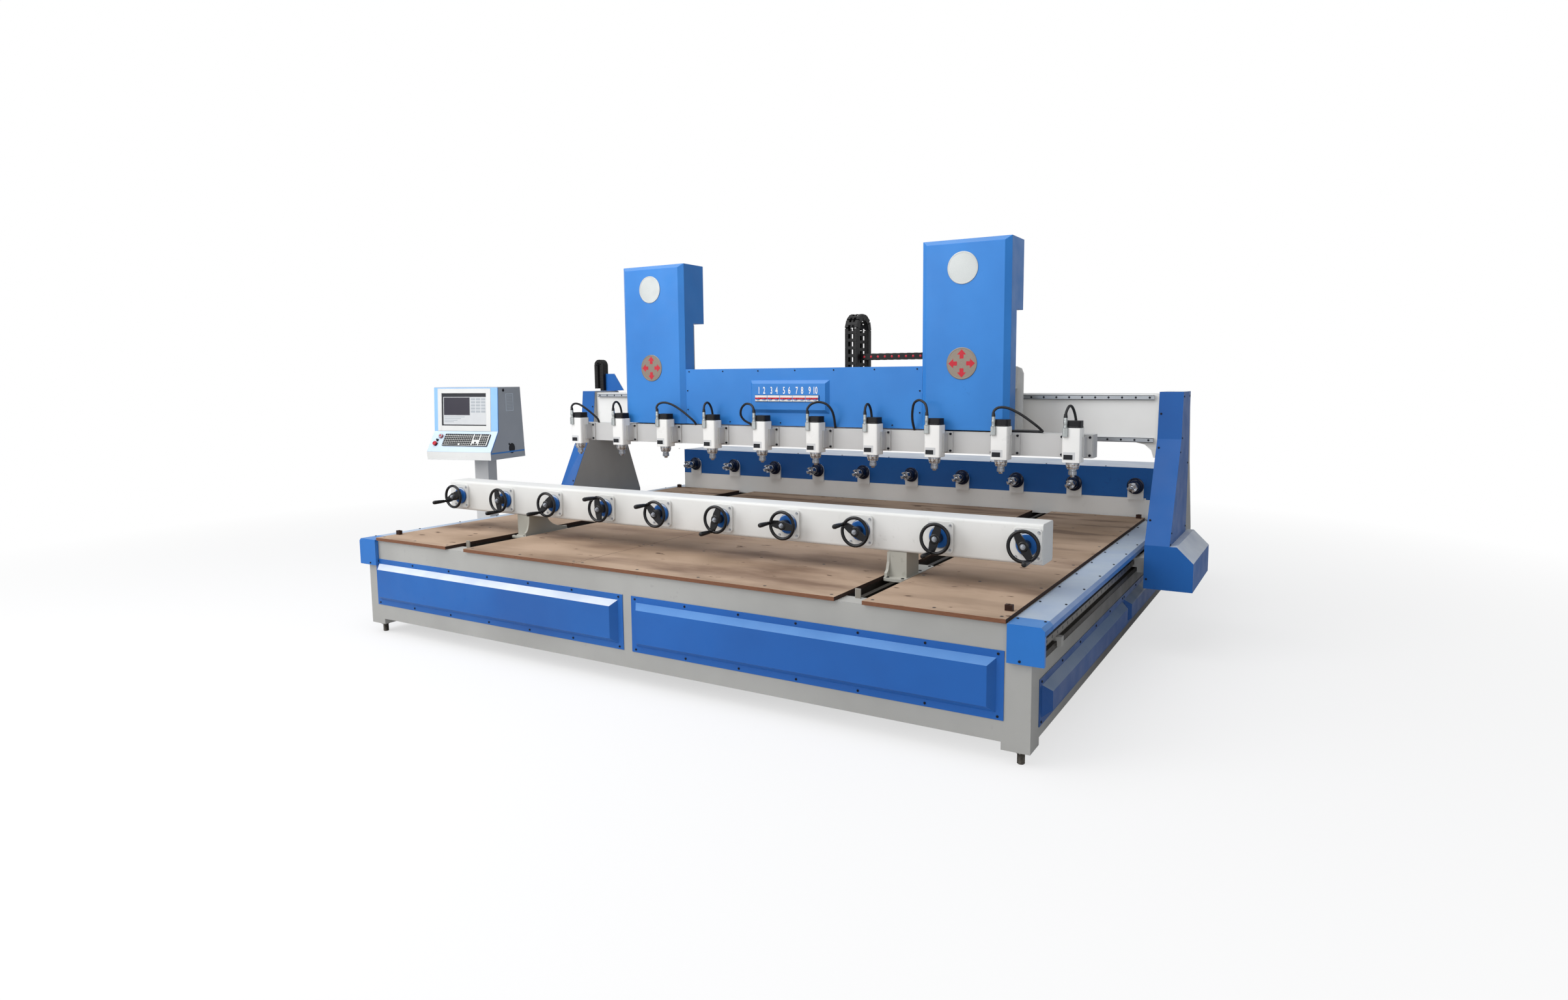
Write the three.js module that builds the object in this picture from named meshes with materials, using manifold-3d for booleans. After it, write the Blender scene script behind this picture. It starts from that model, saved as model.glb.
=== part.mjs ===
// A wood router with ten spindles over ten rotary stations, as an assembly of separate pieces.
// Lengths are millimetres. +X runs to the right of someone at the handwheels, +Y to the back, +Z up.
// While it is built, X = 0 is the middle of the bed, Y = 0 its front face and Z = 0 the floor.
import * as THREE from "three";
import { mergeVertices } from "three/addons/utils/BufferGeometryUtils.js";
import Module from "manifold-3d";

// Shared values
const clearance = 0.3;
const overrun = 10;
const sheet = 3;

// Stations: the rotary axes and the spindles stand at one pitch, which shares out the bed's length
const bedLength = 4034;
const bedSpareLength = 34;
const halfLength = bedLength / 2;
const stationCount = 10;
const stationPitch = (bedLength - bedSpareLength) / stationCount;
const rotaryRowCentreX = 53;
const spindleRowCentreX = -50;

// Bed frame
const bedDepth = 3820;
const legBottomZ = 61;
const bedFloorGap = 32;
const bedHeight = 476;
const bedBottomZ = legBottomZ + bedFloorGap;
const bedTopZ = bedBottomZ + bedHeight;
const bedWall = 100;
const legWidth = 117;
const levelBoltRadius = 13;
const levelBoltInset = 50;
const levelNutRadius = 22;
const levelNutHeight = 16;
const slotLeftInset = 791;
const slotRightInset = 780;
const slotLeftX = slotLeftInset - halfLength;
const slotRightX = halfLength - slotRightInset;
const slotLeftWidth = 149;
const slotRightWidth = 131;
const slotBeamWidth = 80;
const slotBeamHeight = 200;
const crossMemberCount = 2;
const crossMemberHeight = 300;
const slotDepth = 120;
const guideBeamWidth = 60;
const guideBeamDrop = 22;
const guideRailWidth = 24;
const stopTabWidth = 26;
const stopTabHeight = 42;
const stopTabThickness = 6;
const stopTabSetback = 24;

// Rails of the long axis on both bed sides
const railBarThickness = 12;
const railBarTopDrop = 41;
const railBarHeight = 104;
const railBarTopZ = bedTopZ - railBarTopDrop;
const railBarBottomZ = railBarTopZ - railBarHeight;
const railBarEndGap = 40;
const railWidth = 25;
const railHeight = 21;
const yRailDrop = 75;
const yRailZ = bedTopZ - yRailDrop;
const rackLift = 8;
const rackBottomZ = railBarBottomZ + rackLift;
const rackHeight = 22;
const rackThickness = 18;
const railStopY = 240;
const railStopLength = 34;
const railStopReach = 36;
const railStopHeight = 40;

// Covers over the bed's rails
const railCoverGap = 5;
const railCoverLap = 93;
const railCoverOuterX = halfLength + railBarThickness + railStopReach + railCoverGap;
const railCoverInnerX = halfLength - railCoverLap;
const railCoverLip = 34;
const railCoverChamfer = 14;
const endCapHeight = 153;
const endCapThickness = 21;

// Boards on the bed
const boardThickness = 18;
const boardFrontY = -17;
const boardBackGap = 15;
const boardCoverGap = 6;
const boardOuterX = railCoverInnerX - boardCoverGap;
const boardTopZ = bedTopZ + boardThickness;
const stopBlockWidth = 32;
const stopBlockDepth = 20;
const stopBlockHeight = 25;
const stopBlockEdge = 14;
const stopBlockFrontY = 108;
const stopBlockBackGap = 40;
const boardSeamX = -330;
const seamWidth = 2;
const seamDepth = 6;

// Pressed covers on the bed's front and sides
const coverFlange = 28;
const coverBevel = 30;
const coverRise = 38;
const frontCoverBottomGap = 86;
const frontCoverTopGap = 111;
const frontCoverBottomZ = bedBottomZ + frontCoverBottomGap;
const frontCoverTopZ = bedTopZ - frontCoverTopGap;
const frontCoverLeftInset = 68;
const frontCoverRightInset = 107;
const frontCoverLeftX = frontCoverLeftInset - halfLength;
const frontCoverRightX = halfLength - frontCoverRightInset;
const frontCoverGapX = 8;
const frontCoverGap = 55;
const sideCoverBottomGap = 44;
const sideCoverTopGap = 239;
const sideCoverBottomZ = bedBottomZ + sideCoverBottomGap;
const sideCoverTopZ = bedTopZ - sideCoverTopGap;
const sideCoverFrontY = 106;
const sideCoverBackGap = 110;
const sideCoverRise = 40;
const sideCoverJointY = 1670;
const sideCoverJointWidth = 50;

// Headstock
const headstockDepth = 450;
const headstockBackGap = 485;
const headstockFrontY = bedDepth - headstockBackGap - headstockDepth;
const headstockLeftReach = 130;
const headstockRightReach = 65;
const headstockLeftX = firstStationX(rotaryRowCentreX) - headstockLeftReach;
const headstockRightX = lastStationX(rotaryRowCentreX) + headstockRightReach;
const headstockBaseHeight = 143;
const headstockCoverHeight = 200;
const headstockBaseTopZ = bedTopZ + headstockBaseHeight;
const headstockCoverTopZ = headstockBaseTopZ + headstockCoverHeight;
const headstockCoverWall = 4;
const headstockOverhang = 6;
const rotaryAxisRise = 81;
const rotaryAxisZ = headstockBaseTopZ + rotaryAxisRise;
const bracketWidth = 100;
const bracketThickness = 12;
const bracketLap = 10;
const shaftRadius = 20;
const shaftHoleGap = 4;

// Rotary chucks
const chuckStandoff = 28;
const chuckFaceY = headstockFrontY - chuckStandoff;
const chuckDiscRadius = 54;
const chuckHubRadius = 36;
const chuckHubLength = 42;
const chuckNeckRadius = 22;
const chuckNeckLength = 22;
const clawRadius = 30;
const clawLength = 52;
const clawWall = 9;
const clawSlotWidth = 16;
const clawSlotDepth = 30;
const spikeRadius = 7;
const spikeReach = 43;
const chuckShaftTail = 110;

// Tailstock
const tailBeamFrontY = 474;
const tailBeamDepth = 155;
const tailBeamHeight = 180;
const tailBeamLeftReach = 108;
const tailBeamRightReach = 65;
const tailBeamLeftX = firstStationX(rotaryRowCentreX) - tailBeamLeftReach;
const tailBeamRightX = lastStationX(rotaryRowCentreX) + tailBeamRightReach;
const tailBeamBackY = tailBeamFrontY + tailBeamDepth;
const tailBeamBottomZ = rotaryAxisZ - tailBeamHeight / 2;
const tailBeamTopZ = rotaryAxisZ + tailBeamHeight / 2;
const tailBeamRounding = 14;
const wheelPlateWidth = 128;
const wheelPlateHeight = 144;
const wheelPlateThickness = 12;
const wheelPlateRounding = 20;
const bearingCapRadius = 48;
const bearingCapThickness = 12;
const rearBossRadius = 38;
const rearBossLength = 20;
const footPostWidth = 92;
const footPostDepth = 140;
const footFlangeWidth = 112;
const footFlangeThickness = 14;
const footFlangeLead = 38;
const footFlangeLength = 364;
const footFlangeFrontY = tailBeamFrontY - footFlangeLead;
const footFlangeBackY = footFlangeFrontY + footFlangeLength;
const footRibThickness = 14;
const footRibLowHeight = 20;

// Handwheels with their screws and live centres
const wheelStandoff = 93;
const wheelPlaneY = tailBeamFrontY - wheelStandoff;
const wheelRimRadius = 66;
const wheelRimThickness = 8;
const wheelHubRadius = 24;
const wheelHubLength = 44;
const spokeWidth = 34;
const spokeThickness = 10;
const crankLength = 104;
const crankRadius = 11;
const crankNeckRadius = 7;
const crankNeckLength = 16;
const liveCentreRadius = 26;
const liveCentreLength = 36;
const liveCentreConeLength = 60;
const crankAnglesDegrees = [207, 280, 226, 98, 133, 251, 172, 149, 255, 300];

// Crossbeam with the rails of the carriage
const crossbeamFrontY = 2085;
const crossbeamDepth = 245;
const crossbeamRise = 564;
const crossbeamHeight = 275;
const crossbeamBottomZ = bedTopZ + crossbeamRise;
const crossbeamTopZ = crossbeamBottomZ + crossbeamHeight;
const crossbeamBackY = crossbeamFrontY + crossbeamDepth;
const xRailTopInset = 20;
const xRailBottomInset = 15;
const xRailTopZ = crossbeamTopZ - xRailTopInset;
const xRailBottomZ = crossbeamBottomZ + xRailBottomInset;
const xRailFrontY = crossbeamFrontY - railHeight;
const xRailEndGap = 27;
const gussetReach = 122;
const gussetDrop = 84;
const gussetThickness = 20;
const gussetLip = 26;

// Gantry columns, from the crossbeam down to the bed's rails
const columnGap = 42;
const columnWidth = 127;
const columnInnerX = railCoverOuterX + columnGap;
const columnOuterX = columnInnerX + columnWidth;
const columnTopGap = 13;
const columnTopZ = crossbeamTopZ + columnTopGap;
const columnTopLead = 23;
const columnFrontTopY = crossbeamFrontY - columnTopLead;
const columnCreaseLead = 50;
const columnCreaseY = crossbeamFrontY - columnCreaseLead;
const columnCreaseGap = 27;
const columnCreaseZ = crossbeamBottomZ + columnCreaseGap;
const columnToeLead = 340;
const columnToeY = crossbeamFrontY - columnToeLead;
const columnToeRise = 36;
const columnToeZ = bedTopZ + columnToeRise;
const columnBottomDrop = 201;
const columnBottomZ = bedTopZ - columnBottomDrop;
const columnCoverBackY = crossbeamBackY;
const columnBackTopReach = 10;
const columnBackTopY = crossbeamBackY + columnBackTopReach;
const columnBackMidReach = 90;
const columnBackMidY = crossbeamBackY + columnBackMidReach;
const columnBackMidDrop = 121;
const columnBackMidZ = crossbeamBottomZ - columnBackMidDrop;
const columnHeelReach = 244;
const columnHeelY = crossbeamBackY + columnHeelReach;
const columnHeelRise = 27;
const columnHeelZ = bedTopZ + columnHeelRise;
const motorCoverWidth = 121;
const motorCoverTopWidth = 36;
const motorCoverOuterX = columnOuterX + motorCoverWidth;
const motorCoverTopX = columnOuterX + motorCoverTopWidth;
const motorCoverHeight = 238;
const motorCoverTopZ = columnBottomZ + motorCoverHeight;
const motorCoverShoulderDrop = 83;
const motorCoverShoulderZ = motorCoverTopZ - motorCoverShoulderDrop;
const motorCoverReach = 70;
const motorCoverBackY = crossbeamBackY + motorCoverReach;
const saddleThickness = 46;
const saddleBottomDrop = 54;
const saddleTopRise = 30;
const saddleBottomZ = yRailZ - saddleBottomDrop;
const saddleTopZ = yRailZ + saddleTopRise;
const saddleEndInset = 60;
const slideBlockLength = 130;
const slideBlockHeight = 52;
const slideBlockDepth = 33;

// End of the gantry's cable chain and its bracket, on top of the left column
const endChainReach = 56;
const endChainSpan = 93;
const endChainOuterX = -columnOuterX - endChainReach;
const endChainInnerX = endChainOuterX + endChainSpan;
const endChainHeight = 251;
const endChainTopZ = columnTopZ + endChainHeight;
const endChainEndGap = 18;
const endChainEndZ = columnTopZ + endChainEndGap;
const endChainLink = 34;
const endChainSetback = 68;
const endChainFrontY = crossbeamBackY - endChainSetback;
const endChainWidth = 56;
const endBracketReach = 98;
const endBracketInnerX = endBracketReach - columnInnerX;
const endBracketShoulder = 96;
const endBracketShoulderX = endBracketInnerX - endBracketShoulder;
const endBracketHeight = 137;
const endBracketTopZ = columnTopZ + endBracketHeight;
const endBracketThickness = 6;

// Carriage that runs along the crossbeam
const carriageCentreX = -48;
const towerInsetX = 868;
const towerOffsetX = halfLength - towerInsetX;
const carriagePlateWidth = 572;
const carriagePlateLead = 205;
const carriagePlateFrontY = crossbeamFrontY - carriagePlateLead;
const carriagePlateThickness = 25;
const carriagePlateBottomGap = 17;
const carriagePlateBottomZ = crossbeamBottomZ + carriagePlateBottomGap;
const carriagePlateTopRise = 162;
const carriagePlateTopZ = crossbeamTopZ + carriagePlateTopRise;
const carriagePlateRounding = 40;
const carriageBoxWidth = 420;
const tieHeight = 120;
const tieDepth = 60;
const tieGap = 16;
const tieBottomZ = crossbeamTopZ + tieGap;
const chainTrayThickness = 6;
const chainTrayMargin = 10;
const zBlockGap = 4;


// Lift: two guided plates, each with its screw, that carry the long bar
const zPlateThickness = 20;
const zPlateWidth = 510;
const liftGap = 34;
const zPlateFrontY = carriagePlateFrontY - liftGap - railHeight - zPlateThickness + clearance;
const zPlateBackY = zPlateFrontY + zPlateThickness;
const zRailBackY = zPlateBackY + railHeight;
const zRailOffsetX = 230;
const screwRadius = 16;
const screwGap = 1;
const screwEndHeight = 30;
const nutHeight = 70;
const nutWidth = 90;

// Towers, in front of the lift's plates
const towerWidth = 536;
const towerDepth = 123;
const towerHighReach = 120;
const towerLowBackY = zPlateFrontY - clearance;
const towerFrontY = towerLowBackY - towerDepth;
const towerHighBackY = towerLowBackY + towerHighReach;
const towerBottomGap = 70;
const towerLowHeight = 692;
const towerHighHeight = 400;
const towerBottomZ = crossbeamBottomZ + towerBottomGap;
const towerStepZ = towerBottomZ + towerLowHeight;
const towerTopZ = towerStepZ + towerHighHeight;
const zPlateTopGap = 2;
const zPlateTopZ = towerStepZ - zPlateTopGap;
const towerChamferWidth = 34;
const towerChamferDepth = 26;
const towerReturn = 34;
const badgeRadius = 92;
const badgeThickness = 2;
const badgeRise = 385;
const badgeDrop = 165;
const badgeLowZ = towerBottomZ + badgeRise;
const badgeHighZ = towerTopZ - badgeDrop;
const badgeShift = -13;

// Long bar under the towers
const barHeight = 128;
const barTopGap = 8;
const barTopZ = towerBottomZ - barTopGap;
const barBottomZ = barTopZ - barHeight;
const barSetback = 8;
const barFrontY = towerFrontY + barSetback;
const barDepth = 90;
const barBackY = barFrontY + barDepth;
const barLeftReach = 87;
const barRightReach = 92;
const barLeftX = firstStationX(spindleRowCentreX) - barLeftReach;
const barRightX = lastStationX(spindleRowCentreX) + barRightReach;

// Spindle motors
const motorWidth = 95;
const motorDepth = 82;
const motorLead = 110;
const motorFrontY = barFrontY - motorLead;
const motorCentreY = motorFrontY + motorDepth / 2;
const motorDrop = 19;
const motorHeight = 186;
const motorBottomZ = barBottomZ - motorDrop;
const motorTopZ = motorBottomZ + motorHeight;
const motorCornerCut = 6;
const capHeight = 38;
const capInset = 3;
const capRounding = 12;
const mountPlateWidth = 176;
const mountPlateRibWidth = 100;
const mountPlateThickness = 10;
const connectorWidth = 24;
const connectorHeight = 44;
const connectorDepth = 10;
const connectorInset = 4;
const plugRadius = 9;
const plugHeight = 58;
const plugTopZ = motorTopZ + plugHeight;
const noseRadius = 37;
const noseLowRadius = 30;
const noseHeight = 38;

// Spindle noses that turn
const nutRadius = 21;
const nutLength = 32;
const nutNeckRadius = 17;
const colletRadius = 12;
const colletLength = 11;
const spindleShaftRadius = 9;
const spindleShaftDepth = 20;

// Panel between the towers, with the box of the ten breakers
const panelSetback = 25;
const panelFrontY = towerFrontY + panelSetback;
const panelBottomZ = towerBottomZ;
const panelHeight = 373;
const panelTopZ = panelBottomZ + panelHeight;
const panelReturn = 80;
const switchBoxCentreX = -92;
const switchBoxWidth = 594;
const switchBoxHeight = 212;
const switchBoxLift = 83;
const switchBoxBottomZ = panelBottomZ + switchBoxLift;
const switchBoxTopZ = switchBoxBottomZ + switchBoxHeight;
const switchBoxLeftX = switchBoxCentreX - switchBoxWidth / 2;
const switchBoxRightX = switchBoxCentreX + switchBoxWidth / 2;
const switchBoxRise = 22;
const breakerStripCentreX = -100;
const breakerStripWidth = 480;
const breakerStripLift = 76;
const breakerStripLeftX = breakerStripCentreX - breakerStripWidth / 2;
const breakerStripRightX = breakerStripCentreX + breakerStripWidth / 2;
const breakerStripBottomZ = switchBoxBottomZ + breakerStripLift;
const breakerStripHeight = 38;
const breakerStripRise = 8;
const toggleWidth = 20;
const toggleHeight = 10;
const toggleRise = 6;

// Cable chain: an upright loop for the lift and a level run for the carriage
const chainTrayZ = tieBottomZ;
const chainFootZ = chainTrayZ + chainTrayThickness + clearance;
const chainWidth = 92;
const chainHeight = 42;
const chainLoopX = 204;
const chainLoopSetback = 120;
const chainLoopFrontY = carriagePlateFrontY + chainLoopSetback;
const chainLoopDepth = 205;
const chainLoopHeight = 506;
const chainLoopTopZ = chainTrayZ + chainLoopHeight;
const chainRunHeight = 202;
const chainRunZ = chainTrayZ + chainRunHeight;
const chainRunReach = 29;
const chainRunRightX = carriageCentreX + towerOffsetX + chainRunReach;
const chainRunBackGap = 8;
const chainLinkPitch = 62;
const chainGroove = 8;
const chainGrooveWidth = 7;

// Control console that stands beside the machine
const consoleGap = 1687;
const consoleX = -halfLength - consoleGap;
const consoleY = 1702;
const consoleTurnDegrees = 13.8;
const consoleWidth = 629;
const consoleDepth = 494;
const consoleLipBottomZ = 847;
const consoleLipHeight = 66;
const consoleLipTopZ = consoleLipBottomZ + consoleLipHeight;
const consoleShelfDepth = 112;
const consoleShelfRise = 170;
const consoleShelfTopZ = consoleLipTopZ + consoleShelfRise;
const consoleKneeHeight = 49;
const consoleKneeZ = consoleLipBottomZ + consoleKneeHeight;
const consoleFrontHeight = 372;
const consoleTopZ = consoleShelfTopZ + consoleFrontHeight;
const consoleFrontLean = 19;
const consoleTopFrontDepth = consoleShelfDepth + consoleFrontLean;
const consoleBackLean = 43;
const consoleTopBackDepth = consoleDepth - consoleBackLean;
const consoleLipSetback = 4;
const postWidth = 135;
const postDepth = 122;
const postSetback = 300;
const consoleBaseWidth = 560;
const consoleBaseDepth = 470;
const consoleBaseThickness = 12;
const screenLeft = 75;
const screenWidth = 443;
const screenGap = 46;
const screenBottomZ = consoleShelfTopZ + screenGap;
const screenHeight = 275;
const screenRecess = 6;
const keyboardLeft = 131;
const keyboardWidth = 445;
const keyboardDepth = 116;
const keyboardThickness = 16;
const keyboardStart = 56;
const buttonLeft = 62;
const buttonAlongSlope = 74;
const buttonSecondLeft = 92;
const buttonSecondAlong = 148;
const buttonHeadRadius = 19;
const buttonHeadHeight = 14;
const buttonStemRadius = 9;
const buttonStemDepth = 10;
const buttonTravel = 8;
const buttonCollarRadius = 16;
const buttonCollarHeight = 6;

// Facets of round pieces
const fineSteps = 14;
const roundSteps = 10;
const smallSteps = 8;
const tubeSteps = 6;
const cornerSteps = 1;
const arcSteps = 3;

// Materials
function paint(color, roughness, metalness) {
  return new THREE.MeshStandardMaterial({ color, roughness, metalness });
}
const bluePaint = paint("#2f78cf", 0.42, 0.1);
const whitePaint = paint("#dcdddb", 0.5, 0.05);
const greyPaint = paint("#c4c4bf", 0.55, 0.05);
const darkGreyPaint = paint("#6f6f6e", 0.6, 0.1);
const boardFibre = paint("#b3907a", 0.8, 0);
const blackPlastic = paint("#1b1b1c", 0.5, 0);
const navyEnamel = paint("#16284f", 0.35, 0.3);
const brightSteel = paint("#b9bcc0", 0.28, 1);
const redPlastic = paint("#c9202a", 0.4, 0);

// Solids: closed geometries become solids that can be joined and cut
const wasm = await Module();
wasm.setup();

function solid(geometry) {
  const bare = geometry.clone();
  bare.deleteAttribute("normal");
  bare.deleteAttribute("uv");
  const merged = mergeVertices(bare);
  const corners = merged.index.array;
  const kept = [];
  for (let i = 0; i < corners.length; i += 3) {
    const [a, b, c] = [corners[i], corners[i + 1], corners[i + 2]];
    if (a !== b && b !== c && c !== a) {
      kept.push(a, b, c);
    }
  }
  const build = (triangles) =>
    new wasm.Manifold(
      new wasm.Mesh({
        numProp: 3,
        vertProperties: merged.attributes.position.array,
        triVerts: new Uint32Array(triangles),
      }),
    );
  const body = build(kept);
  return body.volume() < 0 ? build(kept.reverse()) : body;
}

function join(bodies) {
  return bodies.reduce((all, next) => all.add(next));
}

function cut(body, tools) {
  return tools.reduce((left, tool) => left.subtract(tool), body);
}

function geometryOf(body) {
  const mesh = body.getMesh();
  const geometry = new THREE.BufferGeometry();
  geometry.setAttribute("position", new THREE.BufferAttribute(new Float32Array(mesh.vertProperties), 3));
  geometry.setIndex(new THREE.BufferAttribute(new Uint32Array(mesh.triVerts), 1));
  geometry.computeVertexNormals();
  return geometry;
}

function addPiece(parent, name, material, body) {
  const mesh = new THREE.Mesh(geometryOf(body), material);
  mesh.name = name;
  parent.add(mesh);
  return mesh;
}

// Shapes
const alongX = new THREE.Vector3(1, 0, 0);
const alongY = new THREE.Vector3(0, 1, 0);
const alongZ = new THREE.Vector3(0, 0, 1);

function block(x0, x1, y0, y1, z0, z1) {
  const geometry = new THREE.BoxGeometry(x1 - x0, y1 - y0, z1 - z0);
  geometry.translate((x0 + x1) / 2, (y0 + y1) / 2, (z0 + z1) / 2);
  return solid(geometry);
}

function extrusion(points, depth) {
  const shape = new THREE.Shape(points.map(([a, b]) => new THREE.Vector2(a, b)));
  return new THREE.ExtrudeGeometry(shape, { depth, bevelEnabled: false });
}

// An outline of [y, z] points, extruded from x0 to x1
function prismAlongX(points, x0, x1) {
  const geometry = extrusion(points, x1 - x0);
  geometry.applyMatrix4(new THREE.Matrix4().makeBasis(alongY, alongZ, alongX).setPosition(x0, 0, 0));
  return solid(geometry);
}

// An outline of [x, z] points, extruded from y0 to y1
function prismAlongY(points, y0, y1) {
  const geometry = extrusion(points, y1 - y0);
  const backwards = alongY.clone().negate();
  geometry.applyMatrix4(new THREE.Matrix4().makeBasis(alongX, alongZ, backwards).setPosition(0, y1, 0));
  return solid(geometry);
}

// An outline of [x, y] points, extruded from z0 to z1
function prismAlongZ(points, z0, z1) {
  const geometry = extrusion(points, z1 - z0);
  geometry.translate(0, 0, z0);
  return solid(geometry);
}

function roundedOutline(a0, a1, b0, b1, radius) {
  const shape = new THREE.Shape();
  const turn = Math.PI / 2;
  shape.absarc(a1 - radius, b0 + radius, radius, -turn, 0);
  shape.absarc(a1 - radius, b1 - radius, radius, 0, turn);
  shape.absarc(a0 + radius, b1 - radius, radius, turn, 2 * turn);
  shape.absarc(a0 + radius, b0 + radius, radius, 2 * turn, 3 * turn);
  return shape.getPoints(cornerSteps).map((point) => [point.x, point.y]);
}

// A turned body: [radius, height] points revolved about the vertical through x, y
function turnedUp(points, x, y, steps) {
  const geometry = new THREE.LatheGeometry(points.map(([r, t]) => new THREE.Vector2(r, t)), steps);
  geometry.rotateX(Math.PI / 2);
  geometry.translate(x, y, 0);
  return solid(geometry);
}

// A turned body: [radius, y] points revolved about the line through x, z
function turnedBack(points, x, z, steps) {
  const geometry = new THREE.LatheGeometry(points.map(([r, t]) => new THREE.Vector2(r, t)), steps);
  geometry.translate(x, 0, z);
  return solid(geometry);
}

function rodUp(radius, x, y, z0, z1, steps) {
  return turnedUp([[0, z0], [radius, z0], [radius, z1], [0, z1]], x, y, steps);
}

function rodBack(radius, x, z, y0, y1, steps) {
  return turnedBack([[0, y0], [radius, y0], [radius, y1], [0, y1]], x, z, steps);
}

// Radius of a bore whose flats clear a round shaft that turns in it
function boreFor(radius, steps) {
  return (radius + clearance) / Math.cos(Math.PI / steps);
}

// A block whose front face, at y0, is smaller by the bevel on all sides than its back, at y1
function bevelledBlock(x0, x1, z0, z1, bevel, y0, y1) {
  const back = [[x0, z0], [x1, z0], [x1, z1], [x0, z1]];
  const front = [[x0 + bevel, z0 + bevel], [x1 - bevel, z0 + bevel], [x1 - bevel, z1 - bevel], [x0 + bevel, z1 - bevel]];
  const corners = [...back.map(([x, z]) => [x, y1, z]), ...front.map(([x, z]) => [x, y0, z])];
  const geometry = new THREE.BufferGeometry();
  geometry.setAttribute("position", new THREE.Float32BufferAttribute(corners.flat(), 3));
  const faces = [0, 2, 1, 0, 3, 2, 4, 5, 6, 4, 6, 7];
  for (let i = 0; i < 4; i += 1) {
    const next = (i + 1) % 4;
    faces.push(i, next, 4 + next, i, 4 + next, 4 + i);
  }
  geometry.setIndex(faces);
  return solid(geometry);
}

function stationX(centre, index) {
  return centre + (index - (stationCount - 1) / 2) * stationPitch;
}

function firstStationX(centre) {
  return stationX(centre, 0);
}

function lastStationX(centre) {
  return stationX(centre, stationCount - 1);
}

const stations = Array.from({ length: stationCount }, (_, index) => index);
const sides = [["left", -1], ["right", 1]];

// Mirrors an [x0, x1] span to one side of the machine
function span(side, inner, outer) {
  return side < 0 ? [-outer, -inner] : [inner, outer];
}

// Bed frame: welded tubes on four corner legs, with two long slots for the tailstock's feet
function bedFrame() {
  const walls = [
    block(-halfLength, halfLength, 0, bedWall, bedBottomZ, bedTopZ),
    block(-halfLength, halfLength, bedDepth - bedWall, bedDepth, bedBottomZ, bedTopZ),
    block(-halfLength, -halfLength + bedWall, 0, bedDepth, bedBottomZ, bedTopZ),
    block(halfLength - bedWall, halfLength, 0, bedDepth, bedBottomZ, bedTopZ),
  ];
  const members = [];
  for (let i = 1; i <= crossMemberCount; i += 1) {
    const y = (bedDepth * i) / (crossMemberCount + 1);
    const member = block(-halfLength + bedWall / 2, halfLength - bedWall / 2, y - bedWall / 2, y + bedWall / 2,
      bedTopZ - crossMemberHeight, bedTopZ);
    members.push(cut(member, slotCuts(y - bedWall, y + bedWall)));
  }
  const lengthways = [];
  for (const [x, width] of [[slotLeftX, slotLeftWidth], [slotRightX, slotRightWidth]]) {
    for (const side of [-1, 1]) {
      const edge = x + (side * width) / 2;
      lengthways.push(block(Math.min(edge, edge + side * slotBeamWidth), Math.max(edge, edge + side * slotBeamWidth),
        bedWall / 2, bedDepth - bedWall / 2, bedTopZ - slotBeamHeight, bedTopZ));
    }
    lengthways.push(block(x - guideBeamWidth / 2, x + guideBeamWidth / 2, bedWall / 2, bedDepth - bedWall / 2,
      bedTopZ - slotDepth - overrun, bedTopZ - guideBeamDrop));
    lengthways.push(block(x - guideRailWidth / 2, x + guideRailWidth / 2, bedWall / 2, bedDepth - bedWall / 2,
      bedTopZ - guideBeamDrop - overrun, bedTopZ - clearance));
    lengthways.push(block(x - stopTabWidth / 2, x + stopTabWidth / 2, bedWall - stopTabSetback,
      bedWall - stopTabSetback + stopTabThickness, bedTopZ - overrun, bedTopZ + stopTabHeight));
  }
  const corners = [];
  for (const [, side] of sides) {
    for (const [y0, y1] of [[0, legWidth], [bedDepth - legWidth, bedDepth]]) {
      const [x0, x1] = span(side, halfLength - legWidth, halfLength);
      const boltX = side * (halfLength - levelBoltInset);
      const boltY = y0 === 0 ? levelBoltInset : bedDepth - levelBoltInset;
      corners.push(block(x0, x1, y0, y1, legBottomZ, bedTopZ));
      corners.push(rodUp(levelBoltRadius, boltX, boltY, 0, legBottomZ + overrun, smallSteps));
      corners.push(rodUp(levelNutRadius, boltX, boltY, legBottomZ - levelNutHeight, legBottomZ + overrun, 6));
    }
  }
  return join([...walls, ...members, ...lengthways, ...corners, ...railBars()]);
}

function slotCuts(y0, y1) {
  return [[slotLeftX, slotLeftWidth], [slotRightX, slotRightWidth]].map(([x, width]) =>
    block(x - width / 2, x + width / 2, y0, y1, bedTopZ - slotDepth, bedTopZ + overrun));
}

// Each bed side carries a bar with the linear rail, the rack under it and a stop at the front
function railBars() {
  const parts = [];
  for (const [, side] of sides) {
    const barOuter = halfLength + railBarThickness;
    const bar = span(side, halfLength - overrun, barOuter);
    const rail = span(side, barOuter - overrun, barOuter + railHeight);
    const rack = span(side, barOuter - overrun, barOuter + rackThickness);
    const stop = span(side, barOuter - overrun, barOuter + railStopReach);
    const [y0, y1] = [railBarEndGap, bedDepth - railBarEndGap];
    parts.push(block(...bar, y0, y1, railBarBottomZ, railBarTopZ));
    parts.push(block(...rail, y0, y1, yRailZ - railWidth / 2, yRailZ + railWidth / 2));
    parts.push(block(...rack, y0, y1, rackBottomZ, rackBottomZ + rackHeight));
    parts.push(block(...stop, railStopY, railStopY + railStopLength, rackBottomZ, rackBottomZ + railStopHeight));
  }
  return parts;
}

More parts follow.
